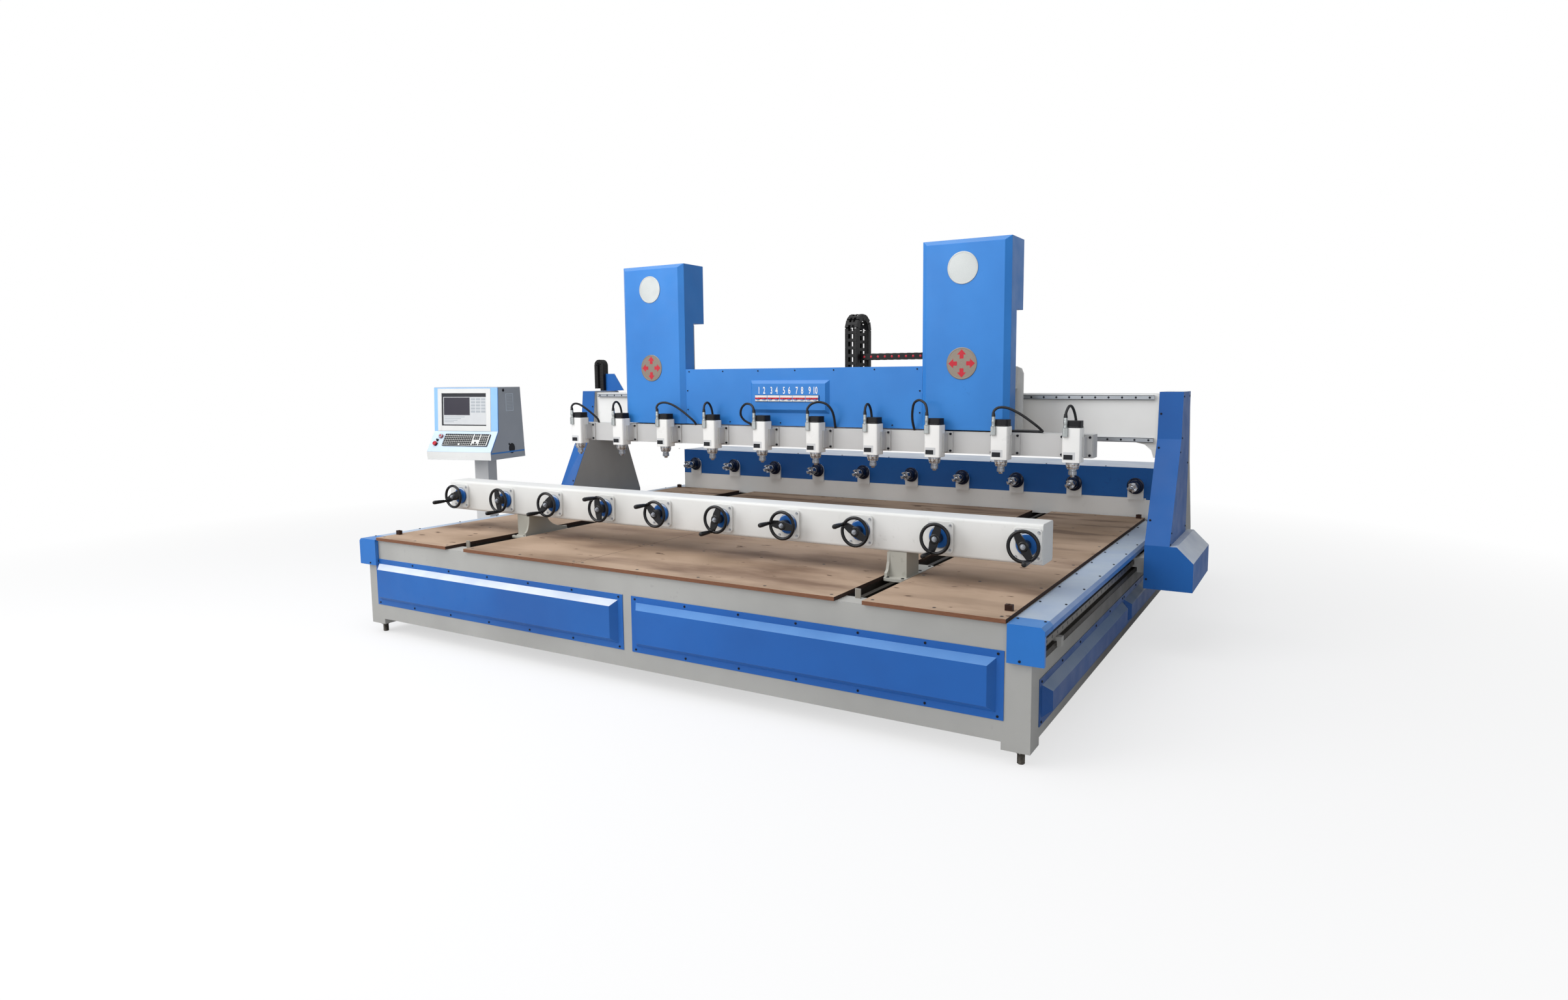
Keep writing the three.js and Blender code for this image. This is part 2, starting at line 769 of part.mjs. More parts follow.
// Sheet covers over the rails: a flat top with a bevelled outer edge, closed by a cap at each end
function railCover(side) {
  const profile = (outer, top, chamfer, inner, low) => [
    [side * inner, low], [side * outer, low], [side * outer, top - chamfer], [side * (outer - chamfer), top],
    [side * inner, top],
  ];
  const top = bedTopZ + clearance + sheet;
  const shell = cut(
    prismAlongY(profile(railCoverOuterX, top, railCoverChamfer, railCoverInnerX, top - railCoverLip),
      -clearance - sheet, bedDepth + clearance + sheet),
    [prismAlongY(profile(railCoverOuterX - sheet, top - sheet, railCoverChamfer, railCoverInnerX - overrun,
      top - railCoverLip - overrun), -overrun, bedDepth + overrun)],
  );
  const cap = profile(railCoverOuterX, top, railCoverChamfer, railCoverInnerX, top - endCapHeight);
  return join([
    shell,
    prismAlongY(cap, -clearance - endCapThickness, -clearance),
    prismAlongY(cap, bedDepth + clearance, bedDepth + clearance + endCapThickness),
  ]);
}

// A pressed cover: a flat flange round a bevelled pan, hollow at the back
function pressedCover(x0, x1, z0, z1, rise) {
  const flange = block(x0, x1, -sheet - clearance, -clearance, z0, z1);
  const pan = bevelledBlock(x0 + coverFlange, x1 - coverFlange, z0 + coverFlange, z1 - coverFlange, coverBevel,
    -rise, -clearance);
  const hollow = bevelledBlock(x0 + coverFlange + sheet, x1 - coverFlange - sheet, z0 + coverFlange + sheet,
    z1 - coverFlange - sheet, coverBevel, -rise + sheet, -clearance);
  const mouth = block(x0 + coverFlange + sheet, x1 - coverFlange - sheet, -clearance - clearance, overrun,
    z0 + coverFlange + sheet, z1 - coverFlange - sheet);
  return cut(join([flange, pan]), [hollow, mouth]);
}

function frontCover(x0, x1) {
  const caps = sides.map(([, side]) => block(...span(side, railCoverInnerX - sheet, railCoverOuterX), -bedWall, 0,
    bedTopZ + sheet - endCapHeight - sheet, bedTopZ));
  return cut(pressedCover(x0, x1, frontCoverBottomZ, frontCoverTopZ, coverRise), caps);
}

// The long side covers are two pans on one flange, built along X and then turned onto the bed's side
function sideCover(side) {
  const pans = [
    [sideCoverFrontY, sideCoverJointY + coverFlange],
    [sideCoverJointY + sideCoverJointWidth - coverFlange, bedDepth - sideCoverBackGap],
  ];
  return join(pans.map(([y0, y1]) => {
    const [from, to] = side > 0 ? [y0, y1] : [bedDepth - y1, bedDepth - y0];
    return pressedCover(from, to, sideCoverBottomZ, sideCoverTopZ, sideCoverRise);
  }));
}

function board(x0, x1) {
  return block(x0, x1, boardFrontY, headstockFrontY - boardBackGap, bedTopZ + clearance, boardTopZ);
}

// The outer boards carry a small stop block near their front and back corners
function outerBoard(side) {
  const slotEdge = side < 0 ? slotLeftX - slotLeftWidth / 2 : slotRightX + slotRightWidth / 2;
  const [x0, x1] = span(side, boardOuterX - stopBlockEdge - stopBlockWidth, boardOuterX - stopBlockEdge);
  const backY = headstockFrontY - boardBackGap - stopBlockBackGap - stopBlockDepth;
  const stops = [stopBlockFrontY, backY].map((y) => block(x0, x1, y, y + stopBlockDepth, boardTopZ - sheet,
    boardTopZ + stopBlockHeight));
  return join([board(Math.min(slotEdge, side * boardOuterX), Math.max(slotEdge, side * boardOuterX)), ...stops]);
}

// Headstock base: a long box with one bearing bracket for each station in front of the cover
function headstockBase() {
  const base = block(headstockLeftX, headstockRightX, headstockFrontY, headstockFrontY + headstockDepth,
    bedTopZ + clearance, headstockBaseTopZ);
  const brackets = stations.map((index) => {
    const x = stationX(rotaryRowCentreX, index);
    const plateY = headstockFrontY - bracketThickness;
    const outline = [
      [x - bracketWidth / 2, headstockBaseTopZ - bracketLap], [x + bracketWidth / 2, headstockBaseTopZ - bracketLap],
    ];
    for (let i = 0; i <= 2 * arcSteps; i += 1) {
      const angle = (Math.PI * i) / (2 * arcSteps);
      outline.push([x + (bracketWidth / 2) * Math.cos(angle), rotaryAxisZ + (bracketWidth / 2) * Math.sin(angle)]);
    }
    const plate = prismAlongY(outline, plateY, headstockFrontY - clearance);
    const root = block(x - bracketWidth / 2 + sheet, x + bracketWidth / 2 - sheet, plateY + sheet,
      headstockFrontY + overrun, headstockBaseTopZ - bracketLap + sheet, headstockBaseTopZ - sheet);
    const bore = rodBack(boreFor(shaftRadius, roundSteps), x, rotaryAxisZ, plateY - overrun,
      headstockFrontY + overrun, roundSteps);
    return cut(join([plate, root]), [bore]);
  });
  return join([base, ...brackets]);
}

// Headstock cover: a sheet box, open below, that hides the shafts and their drive
function headstockCover() {
  const front = headstockFrontY;
  const back = headstockFrontY + headstockDepth + headstockOverhang;
  const wall = headstockCoverWall;
  const low = headstockBaseTopZ + clearance;
  const shell = cut(block(headstockLeftX, headstockRightX, front, back, low, headstockCoverTopZ), [
    block(headstockLeftX + wall, headstockRightX - wall, front + wall, back - wall, low - overrun,
      headstockCoverTopZ - wall),
  ]);
  const holes = stations.map((index) => rodBack(shaftRadius + shaftHoleGap, stationX(rotaryRowCentreX, index),
    rotaryAxisZ, front - overrun, front + overrun, smallSteps));
  return cut(shell, holes);
}

// Rotary chuck: shaft, face disc, hub and a four-toothed drive claw with a centre spike
function chuck() {
  const hubFront = -chuckHubLength;
  const neckFront = hubFront - chuckNeckLength;
  const clawFront = neckFront - clawLength;
  const discBack = headstockFrontY - bracketThickness - clearance - chuckFaceY;
  const tip = clawFront - spikeReach;
  const spikeShoulder = clawFront - spikeReach / 2;
  const body = turnedBack([
    [0, clawFront], [clawRadius, clawFront], [clawRadius, neckFront], [chuckNeckRadius, neckFront],
    [chuckNeckRadius, hubFront], [chuckHubRadius - sheet, hubFront], [chuckHubRadius, hubFront + sheet],
    [chuckHubRadius, 0], [chuckDiscRadius, 0], [chuckDiscRadius, discBack], [shaftRadius, discBack],
    [shaftRadius, discBack + chuckShaftTail], [0, discBack + chuckShaftTail],
  ], 0, 0, roundSteps);
  const hollow = rodBack(clawRadius - clawWall, 0, 0, clawFront - overrun, clawFront + clawSlotDepth, smallSteps);
  const spike = turnedBack([
    [0, tip], [spikeRadius, spikeShoulder], [spikeRadius, clawFront + clawSlotDepth + overrun],
    [0, clawFront + clawSlotDepth + overrun],
  ], 0, 0, tubeSteps);
  const slot = clawSlotWidth / 2;
  const reach = clawRadius + overrun;
  const gaps = [
    hollow,
    block(-reach, reach, clawFront - overrun, clawFront + clawSlotDepth, -slot, slot),
    block(-slot, slot, clawFront - overrun, clawFront + clawSlotDepth, -reach, reach),
  ];
  return join([cut(body, gaps), spike]);
}

// Tailstock beam: a rounded box tube with a plate, a bearing cap and a bore at each station
function tailstockBeam() {
  const section = roundedOutline(tailBeamFrontY, tailBeamBackY, tailBeamBottomZ, tailBeamTopZ, tailBeamRounding);
  const beam = prismAlongX(section, tailBeamLeftX, tailBeamRightX);
  const fittings = [];
  const bores = [];
  for (const index of stations) {
    const x = stationX(rotaryRowCentreX, index);
    const plateY = tailBeamFrontY - wheelPlateThickness;
    const plate = roundedOutline(x - wheelPlateWidth / 2, x + wheelPlateWidth / 2,
      rotaryAxisZ - wheelPlateHeight / 2, rotaryAxisZ + wheelPlateHeight / 2, wheelPlateRounding);
    fittings.push(prismAlongY(plate, plateY, tailBeamFrontY + overrun));
    fittings.push(rodBack(bearingCapRadius, x, rotaryAxisZ, plateY - bearingCapThickness, plateY + sheet, roundSteps));
    fittings.push(rodBack(rearBossRadius, x, rotaryAxisZ, tailBeamBackY - overrun, tailBeamBackY + rearBossLength,
      smallSteps));
    bores.push(rodBack(boreFor(shaftRadius, smallSteps), x, rotaryAxisZ, plateY - bearingCapThickness - overrun,
      tailBeamBackY + rearBossLength + overrun, smallSteps));
  }
  return cut(join([beam, ...fittings]), bores);
}

// Tailstock foot: a post and a flared rib on a flange that stands on the slot's guide rail
function tailstockFoot() {
  const flangeTop = bedTopZ + footFlangeThickness;
  const postFront = tailBeamFrontY + (tailBeamDepth - footPostDepth) / 2;
  const postTop = tailBeamBottomZ - clearance;
  const flange = roundedOutline(-footFlangeWidth / 2, footFlangeWidth / 2, footFlangeFrontY, footFlangeBackY,
    footFlangeThickness);
  const rib = [
    [footFlangeFrontY + footFlangeThickness, flangeTop - sheet],
    [footFlangeBackY - footFlangeThickness, flangeTop - sheet],
    [footFlangeBackY - footFlangeThickness, flangeTop + footRibLowHeight],
  ];
  const arcs = [
    [footFlangeBackY - footFlangeThickness, postFront + footPostDepth],
    [footFlangeFrontY + footFlangeThickness, postFront],
  ];
  const rise = postTop - sheet - flangeTop - footRibLowHeight;
  for (let i = 1; i <= arcSteps; i += 1) {
    const angle = (Math.PI / 2) * (i / arcSteps);
    const [from, to] = arcs[0];
    rib.push([from + (to - from) * Math.sin(angle), flangeTop + footRibLowHeight + rise * (1 - Math.cos(angle))]);
  }
  for (let i = arcSteps; i >= 0; i -= 1) {
    const angle = (Math.PI / 2) * (i / arcSteps);
    const [from, to] = arcs[1];
    rib.push([from + (to - from) * Math.sin(angle), flangeTop + footRibLowHeight + rise * (1 - Math.cos(angle))]);
  }
  return join([
    prismAlongZ(flange, bedTopZ, flangeTop),
    block(-footPostWidth / 2, footPostWidth / 2, postFront, postFront + footPostDepth, flangeTop - sheet, postTop),
    prismAlongX(rib, -footPostWidth / 2 - footRibThickness / 2, -footPostWidth / 2 + footRibThickness / 2),
  ]);
}

// Handwheel: rim, flat two-armed spoke, hub, crank, the screw through the beam and the live centre
function handwheel(crankAngle) {
  const backOfCap = tailBeamFrontY - wheelPlateThickness - bearingCapThickness - wheelPlaneY;
  const bossBack = tailBeamBackY + rearBossLength - wheelPlaneY;
  const tip = bossBack + clearance + liveCentreLength + liveCentreConeLength;
  const hubBack = Math.min(wheelHubLength, backOfCap - sheet);
  const rim = new THREE.TorusGeometry(wheelRimRadius, wheelRimThickness, tubeSteps - 1, fineSteps);
  rim.rotateX(Math.PI / 2);
  const body = turnedBack([
    [0, -wheelRimThickness], [wheelHubRadius, -wheelRimThickness], [wheelHubRadius, hubBack], [shaftRadius, hubBack],
    [shaftRadius, bossBack + clearance], [liveCentreRadius, bossBack + clearance],
    [liveCentreRadius, bossBack + clearance + liveCentreLength], [0, tip],
  ], 0, 0, smallSteps);
  const spoke = block(-wheelRimRadius, wheelRimRadius, -spokeThickness / 2, spokeThickness / 2,
    -spokeWidth / 2, spokeWidth / 2);
  const grip = turnedBack([
    [0, -crankLength], [crankRadius, sheet + sheet - crankLength], [crankRadius, -crankNeckLength],
    [crankNeckRadius, -crankNeckLength], [crankNeckRadius, 0], [0, 0],
  ], wheelRimRadius, 0, tubeSteps);
  const wheel = join([solid(rim), body, spoke, grip]);
  const geometry = geometryOf(wheel);
  geometry.rotateY(-THREE.MathUtils.degToRad(crankAngle));
  return solid(geometry);
}

// Column: a welded plate box that widens towards its foot, with a saddle on the bed's rail
function column(side) {
  const skin = sheet + clearance;
  const outline = [
    [columnFrontTopY + skin, columnTopZ - skin], [columnCreaseY + skin, columnCreaseZ],
    [columnToeY + skin, columnToeZ], [columnToeY + skin, columnBottomZ], [columnHeelY, columnBottomZ],
    [columnHeelY, columnHeelZ], [columnBackMidY, columnBackMidZ], [columnBackTopY, columnTopZ - skin],
  ];
  const body = prismAlongX(outline, ...span(side, columnInnerX, columnOuterX - skin));
  const railFace = halfLength + railBarThickness;
  const saddleInner = columnInnerX - saddleThickness;
  const blocks = [columnToeY + saddleEndInset, columnHeelY - saddleEndInset - slideBlockLength].map((y) =>
    block(...span(side, saddleInner - slideBlockDepth, saddleInner + sheet), y, y + slideBlockLength,
      yRailZ - slideBlockHeight / 2, yRailZ + slideBlockHeight / 2));
  const groove = block(...span(side, railFace, railFace + railHeight + clearance), columnToeY, columnHeelY,
    yRailZ - railWidth / 2 - clearance, yRailZ + railWidth / 2 + clearance);
  const saddle = block(...span(side, saddleInner, columnInnerX + sheet), columnToeY + saddleEndInset,
    columnHeelY - saddleEndInset, saddleBottomZ, saddleTopZ);
  return join([body, saddle, ...blocks.map((item) => cut(item, [groove]))]);
}

// Column cover: sheet over the front, the top and the outer side, with the drive motor's hood
function columnCover(side) {
  const front = [
    [columnCoverBackY, columnTopZ], [columnFrontTopY, columnTopZ], [columnCreaseY, columnCreaseZ],
    [columnToeY, columnToeZ], [columnToeY, columnBottomZ], [columnCoverBackY, columnBottomZ],
  ];
  const inside = [
    [columnCoverBackY + overrun, columnTopZ - sheet], [columnFrontTopY + sheet, columnTopZ - sheet],
    [columnCreaseY + sheet, columnCreaseZ], [columnToeY + sheet, columnToeZ],
    [columnToeY + sheet, columnBottomZ - overrun], [columnCoverBackY + overrun, columnBottomZ - overrun],
  ];
  const shell = cut(prismAlongX(front, ...span(side, columnInnerX, columnOuterX)), [
    prismAlongX(inside, ...span(side, columnInnerX - overrun, columnOuterX - sheet)),
  ]);
  const hoodRoot = columnOuterX - sheet;
  const hood = prismAlongY([
    [side * hoodRoot, columnBottomZ], [side * motorCoverOuterX, columnBottomZ],
    [side * motorCoverOuterX, motorCoverShoulderZ], [side * motorCoverTopX, motorCoverTopZ],
    [side * hoodRoot, motorCoverTopZ],
  ], columnToeY, motorCoverBackY);
  const hoodInside = prismAlongY([
    [side * columnOuterX, columnBottomZ - overrun], [side * (motorCoverOuterX - sheet), columnBottomZ - overrun],
    [side * (motorCoverOuterX - sheet), motorCoverShoulderZ - sheet],
    [side * (motorCoverTopX - sheet), motorCoverTopZ - sheet], [side * columnOuterX, motorCoverTopZ - sheet],
  ], columnToeY + sheet, motorCoverBackY - sheet);
  return join([shell, cut(hood, [hoodInside]), ...(side < 0 ? endOfChain() : [])]);
}

// The last arch of the gantry's cable chain stands on the left column beside its cut-off bracket plate
function endOfChain() {
  const link = endChainLink;
  const radius = (endChainInnerX - endChainOuterX) / 2;
  const middle = endChainOuterX + radius;
  const crown = endChainTopZ - radius;
  const arc = (r) => Array.from({ length: 2 * arcSteps + 1 }, (_, i) => {
    const angle = (Math.PI * i) / (2 * arcSteps);
    return [middle - r * Math.cos(angle), crown + r * Math.sin(angle)];
  });
  const foot = columnTopZ - sheet;
  const arch = [[endChainOuterX, endChainEndZ], ...arc(radius), [endChainInnerX, foot], [endChainInnerX - link, foot],
    ...arc(radius - link).reverse(), [endChainOuterX + link, endChainEndZ]];
  const plateY = endChainFrontY + endChainWidth / 2;
  const plate = [[endChainInnerX - link, foot], [endBracketInnerX, columnTopZ + sheet], [endBracketShoulderX, endBracketTopZ],
    [endChainInnerX - link / 2, endBracketTopZ]];
  return [
    prismAlongY(arch, endChainFrontY, endChainFrontY + endChainWidth),
    prismAlongY(plate, plateY, plateY + endBracketThickness),
  ];
}

// Crossbeam: a box beam with two rails on its front and a curved gusset under each end
function crossbeam() {
  const end = columnInnerX - clearance;
  const beam = block(-end, end, crossbeamFrontY, crossbeamFrontY + crossbeamDepth, crossbeamBottomZ, crossbeamTopZ);
  const railEnd = columnInnerX - xRailEndGap;
  const rails = [xRailTopZ, xRailBottomZ].map((z) => block(-railEnd, railEnd, xRailFrontY, crossbeamFrontY + overrun,
    z - railWidth / 2, z + railWidth / 2));
  const gussets = sides.map(([, side]) => {
    const outline = [[side * end, crossbeamBottomZ + overrun], [side * end, crossbeamBottomZ - gussetDrop]];
    const from = end - gussetLip;
    for (let i = 0; i <= arcSteps; i += 1) {
      const angle = (Math.PI / 2) * (i / arcSteps);
      outline.push([
        side * (from - (gussetReach - gussetLip) * (1 - Math.cos(angle))),
        crossbeamBottomZ - gussetDrop + gussetDrop * Math.sin(angle),
      ]);
    }
    outline.push([side * (end - gussetReach), crossbeamBottomZ + overrun]);
    return prismAlongY(outline, crossbeamFrontY, crossbeamFrontY + gussetThickness);
  });
  return join([beam, ...rails, ...gussets]);
}

// Carriage: a plate and a box behind each tower on blocks of the crossbeam's rails, joined by a tie
function carriage() {
  const parts = [];
  const grooves = [];
  for (const [, side] of sides) {
    const x = carriageCentreX + side * towerOffsetX;
    const plateBack = carriagePlateFrontY + carriagePlateThickness;
    const outline = roundedOutline(x - carriagePlateWidth / 2, x + carriagePlateWidth / 2, carriagePlateBottomZ,
      carriagePlateTopZ, carriagePlateRounding);
    const blockFront = xRailFrontY - slideBlockDepth + railHeight;
    const zBlockFront = zPlateBackY + zBlockGap;
    parts.push(prismAlongY(outline, carriagePlateFrontY, plateBack));
    parts.push(block(x - carriageBoxWidth / 2, x + carriageBoxWidth / 2, plateBack - overrun, blockFront + sheet,
      carriagePlateBottomZ, xRailTopZ + slideBlockHeight / 2));
    for (const z of [xRailTopZ, xRailBottomZ + sheet]) {
      parts.push(block(x - carriageBoxWidth / 2, x + carriageBoxWidth / 2, blockFront, crossbeamFrontY - sheet,
        z - slideBlockHeight / 2, z + slideBlockHeight / 2));
    }
    for (const railSide of [-1, 1]) {
      const railX = x + railSide * zRailOffsetX;
      for (const z of [carriagePlateBottomZ, carriagePlateTopZ - slideBlockLength]) {
        parts.push(block(railX - slideBlockHeight / 2, railX + slideBlockHeight / 2, zBlockFront,
          carriagePlateFrontY + sheet, z, z + slideBlockLength));
      }
      grooves.push(block(railX - railWidth / 2 - clearance, railX + railWidth / 2 + clearance, zPlateFrontY,
        zRailBackY + clearance, carriagePlateBottomZ - overrun, carriagePlateTopZ + overrun));
    }
    const nutZ = (carriagePlateBottomZ + carriagePlateTopZ) / 2;
    parts.push(block(x - nutWidth / 2, x + nutWidth / 2, zPlateBackY + sheet, carriagePlateFrontY + sheet,
      nutZ - nutHeight / 2, nutZ + nutHeight / 2));
    grooves.push(rodUp(screwRadius + screwGap, x, screwY(), nutZ - nutHeight, nutZ + nutHeight, smallSteps));
  }
  for (const z of [xRailTopZ, xRailBottomZ]) {
    grooves.push(block(-columnInnerX, columnInnerX, xRailFrontY - clearance, crossbeamFrontY,
      z - railWidth / 2 - clearance, z + railWidth / 2 + clearance));
  }
  const tieFront = carriagePlateFrontY + carriagePlateThickness;
  parts.push(block(carriageCentreX - towerOffsetX, carriageCentreX + towerOffsetX, tieFront, tieFront + tieDepth,
    tieBottomZ, tieBottomZ + tieHeight));
  parts.push(block(chainLoopX - chainWidth / 2 - chainTrayMargin, chainRunRightX + chainTrayMargin,
    tieFront + tieDepth - overrun, chainLoopFrontY + chainLoopDepth + chainTrayMargin, chainTrayZ,
    chainTrayZ + chainTrayThickness));
  return cut(join(parts), grooves);
}

function screwY() {
  return (zPlateBackY + carriagePlateFrontY) / 2;
}

// Spindle motor: square body, rounded fan cap, mounting bracket, plug and nose flange
function spindleMotor(x) {
  const back = barFrontY - mountPlateThickness;
  const motorBackY = motorFrontY + motorDepth;
  const [x0, x1] = [x - motorWidth / 2, x + motorWidth / 2];
  const chamfer = motorCornerCut;
  const section = [
    [x0 + chamfer, motorFrontY], [x1 - chamfer, motorFrontY], [x1, motorFrontY + chamfer], [x1, motorBackY],
    [x0, motorBackY], [x0, motorFrontY + chamfer],
  ];
  const cap = roundedOutline(x0 + capInset, x1 - capInset, motorFrontY + capInset, motorFrontY + motorDepth - capInset,
    capRounding);
  const nose = turnedUp([
    [0, motorBottomZ - noseHeight], [noseLowRadius, motorBottomZ - noseHeight],
    [noseRadius, motorBottomZ - noseHeight / 2], [noseRadius, motorBottomZ + sheet], [0, motorBottomZ + sheet],
  ], x, motorCentreY, smallSteps);
  const bore = rodUp(boreFor(spindleShaftRadius, smallSteps), x, motorCentreY, motorBottomZ - noseHeight - overrun,
    motorBottomZ - noseHeight + spindleShaftDepth + clearance, smallSteps);
  const connectorX = x0 + connectorInset;
  const plate = block(x - mountPlateWidth / 2, x + mountPlateWidth / 2, back, barFrontY + sheet, barBottomZ, barTopZ);
  const rib = block(x - mountPlateRibWidth / 2 - mountPlateThickness, x + mountPlateRibWidth / 2 + mountPlateThickness,
    motorFrontY + motorDepth / 2, back + sheet, barBottomZ + mountPlateThickness, barTopZ - mountPlateThickness);
  const connector = block(connectorX, connectorX + connectorWidth, motorFrontY - connectorDepth, motorFrontY + sheet,
    motorTopZ - connectorHeight, motorTopZ);
  const plug = rodUp(plugRadius, connectorX + connectorWidth / 2, motorFrontY - connectorDepth / 2,
    motorTopZ - overrun, plugTopZ, tubeSteps);
  return cut(join([
    prismAlongZ(section, motorBottomZ, motorTopZ),
    prismAlongZ(cap, motorTopZ - sheet, motorTopZ + capHeight),
    plate, rib, connector, plug, nose,
  ]), [bore]);
}

// Lifting frame: two guided plates with their screws, the long bar and its ten motors
function spindleBar() {
  const parts = [block(barLeftX, barRightX, barFrontY, barBackY, barBottomZ, barTopZ)];
  for (const [, side] of sides) {
    const x = carriageCentreX + side * towerOffsetX;
    parts.push(block(x - zPlateWidth / 2, x + zPlateWidth / 2, zPlateFrontY, zPlateBackY, barBottomZ, zPlateTopZ));
    parts.push(block(x - zPlateWidth / 2, x + zPlateWidth / 2, barBackY - overrun, zPlateFrontY + sheet, barBottomZ,
      barTopZ));
    for (const railSide of [-1, 1]) {
      const railX = x + railSide * zRailOffsetX;
      parts.push(block(railX - railWidth / 2, railX + railWidth / 2, zPlateBackY - sheet, zRailBackY,
        barBottomZ + overrun, zPlateTopZ - overrun));
    }
    parts.push(rodUp(screwRadius, x, screwY(), barBottomZ + sheet, zPlateTopZ - sheet, smallSteps));
    for (const z of [barBottomZ, zPlateTopZ - screwEndHeight]) {
      parts.push(block(x - nutWidth / 2, x + nutWidth / 2, zPlateBackY - sheet, carriagePlateFrontY - sheet, z,
        z + screwEndHeight));
    }
  }
  for (const index of stations) {
    parts.push(spindleMotor(stationX(spindleRowCentreX, index)));
  }
  return join(parts);
}

// Spindle nose: collet nut on the end of the motor's shaft
function spindleNose() {
  const top = motorBottomZ - noseHeight - clearance;
  const nutBottomZ = top - nutLength;
  const colletTipZ = nutBottomZ - colletLength;
  return turnedUp([
    [0, colletTipZ], [colletRadius, colletTipZ], [colletRadius, nutBottomZ], [nutRadius, nutBottomZ],
    [nutRadius, top - sheet], [nutNeckRadius, top], [spindleShaftRadius, top],
    [spindleShaftRadius, top + spindleShaftDepth], [0, top + spindleShaftDepth],
  ], 0, 0, smallSteps);
}

// Tower: folded sheet with bevelled front edges, deeper above the step where the lift's drive sits
function tower() {
  const half = towerWidth / 2;
  const outer = (w, front, back) => [
    [-w + towerChamferWidth, front], [w - towerChamferWidth, front], [w, front + towerChamferDepth], [w, back],
    [-w, back], [-w, front + towerChamferDepth],
  ];
  const low = prismAlongZ(outer(half, towerFrontY, towerLowBackY), towerBottomZ, towerTopZ);
  const high = prismAlongZ(outer(half, towerFrontY, towerHighBackY), towerStepZ, towerTopZ);
  const inner = half - sheet;
  const hollowLow = prismAlongZ(outer(inner, towerFrontY + sheet, towerLowBackY - sheet), towerBottomZ - overrun,
    towerStepZ);
  const mouth = block(towerReturn - half, half - towerReturn, towerLowBackY - overrun, towerLowBackY + overrun,
    towerBottomZ - overrun, towerStepZ);
  const hollowHigh = prismAlongZ(outer(inner, towerFrontY + sheet, towerHighBackY - sheet), towerStepZ - overrun,
    towerTopZ - sheet - towerChamferDepth);
  const bevel = prismAlongX([
    [towerFrontY - overrun, towerTopZ + overrun], [towerFrontY - overrun, towerTopZ - towerChamferDepth],
    [towerFrontY, towerTopZ - towerChamferDepth], [towerFrontY + towerChamferDepth, towerTopZ],
    [towerFrontY + towerChamferDepth, towerTopZ + overrun],
  ], -half - overrun, half + overrun);
  const floor = block(-half, half, towerLowBackY, towerHighBackY, towerStepZ, towerStepZ + sheet);
  const badges = [badgeLowZ, badgeHighZ].map((z) => rodBack(badgeRadius, badgeShift, z,
    towerFrontY - badgeThickness, towerFrontY + sheet, fineSteps));
  const shell = cut(join([low, high]), [hollowLow, mouth, hollowHigh, bevel]);
  return join([shell, floor, ...badges]);
}

// Panel: folded sheet between the towers with the breaker box on its front
function frontPanel() {
  const x0 = carriageCentreX - towerOffsetX + towerWidth / 2 + clearance;
  const x1 = carriageCentreX + towerOffsetX - towerWidth / 2 - clearance;
  const face = block(x0, x1, panelFrontY, panelFrontY + sheet, panelBottomZ, panelTopZ);
  const topReturn = block(x0, x1, panelFrontY, panelFrontY + panelReturn, panelTopZ - sheet, panelTopZ);
  const box = bevelledBlock(switchBoxLeftX, switchBoxRightX, switchBoxBottomZ, switchBoxTopZ, switchBoxRise,
    panelFrontY - switchBoxRise, panelFrontY + clearance);
  const boxFront = panelFrontY - switchBoxRise;
  const stripTop = breakerStripBottomZ + breakerStripHeight;
  const strip = block(breakerStripLeftX, breakerStripRightX, boxFront - breakerStripRise, boxFront + sheet,
    breakerStripBottomZ, stripTop);
  const pitch = (breakerStripRightX - breakerStripLeftX) / stationCount;
  const toggles = stations.map((index) => {
    const x = breakerStripLeftX + (index + 1 / 2) * pitch;
    const z = (breakerStripBottomZ + stripTop) / 2;
    return block(x - toggleWidth / 2, x + toggleWidth / 2, boxFront - breakerStripRise - toggleRise, boxFront,
      z - toggleHeight, z);
  });
  return join([face, topReturn, box, strip, ...toggles]);
}

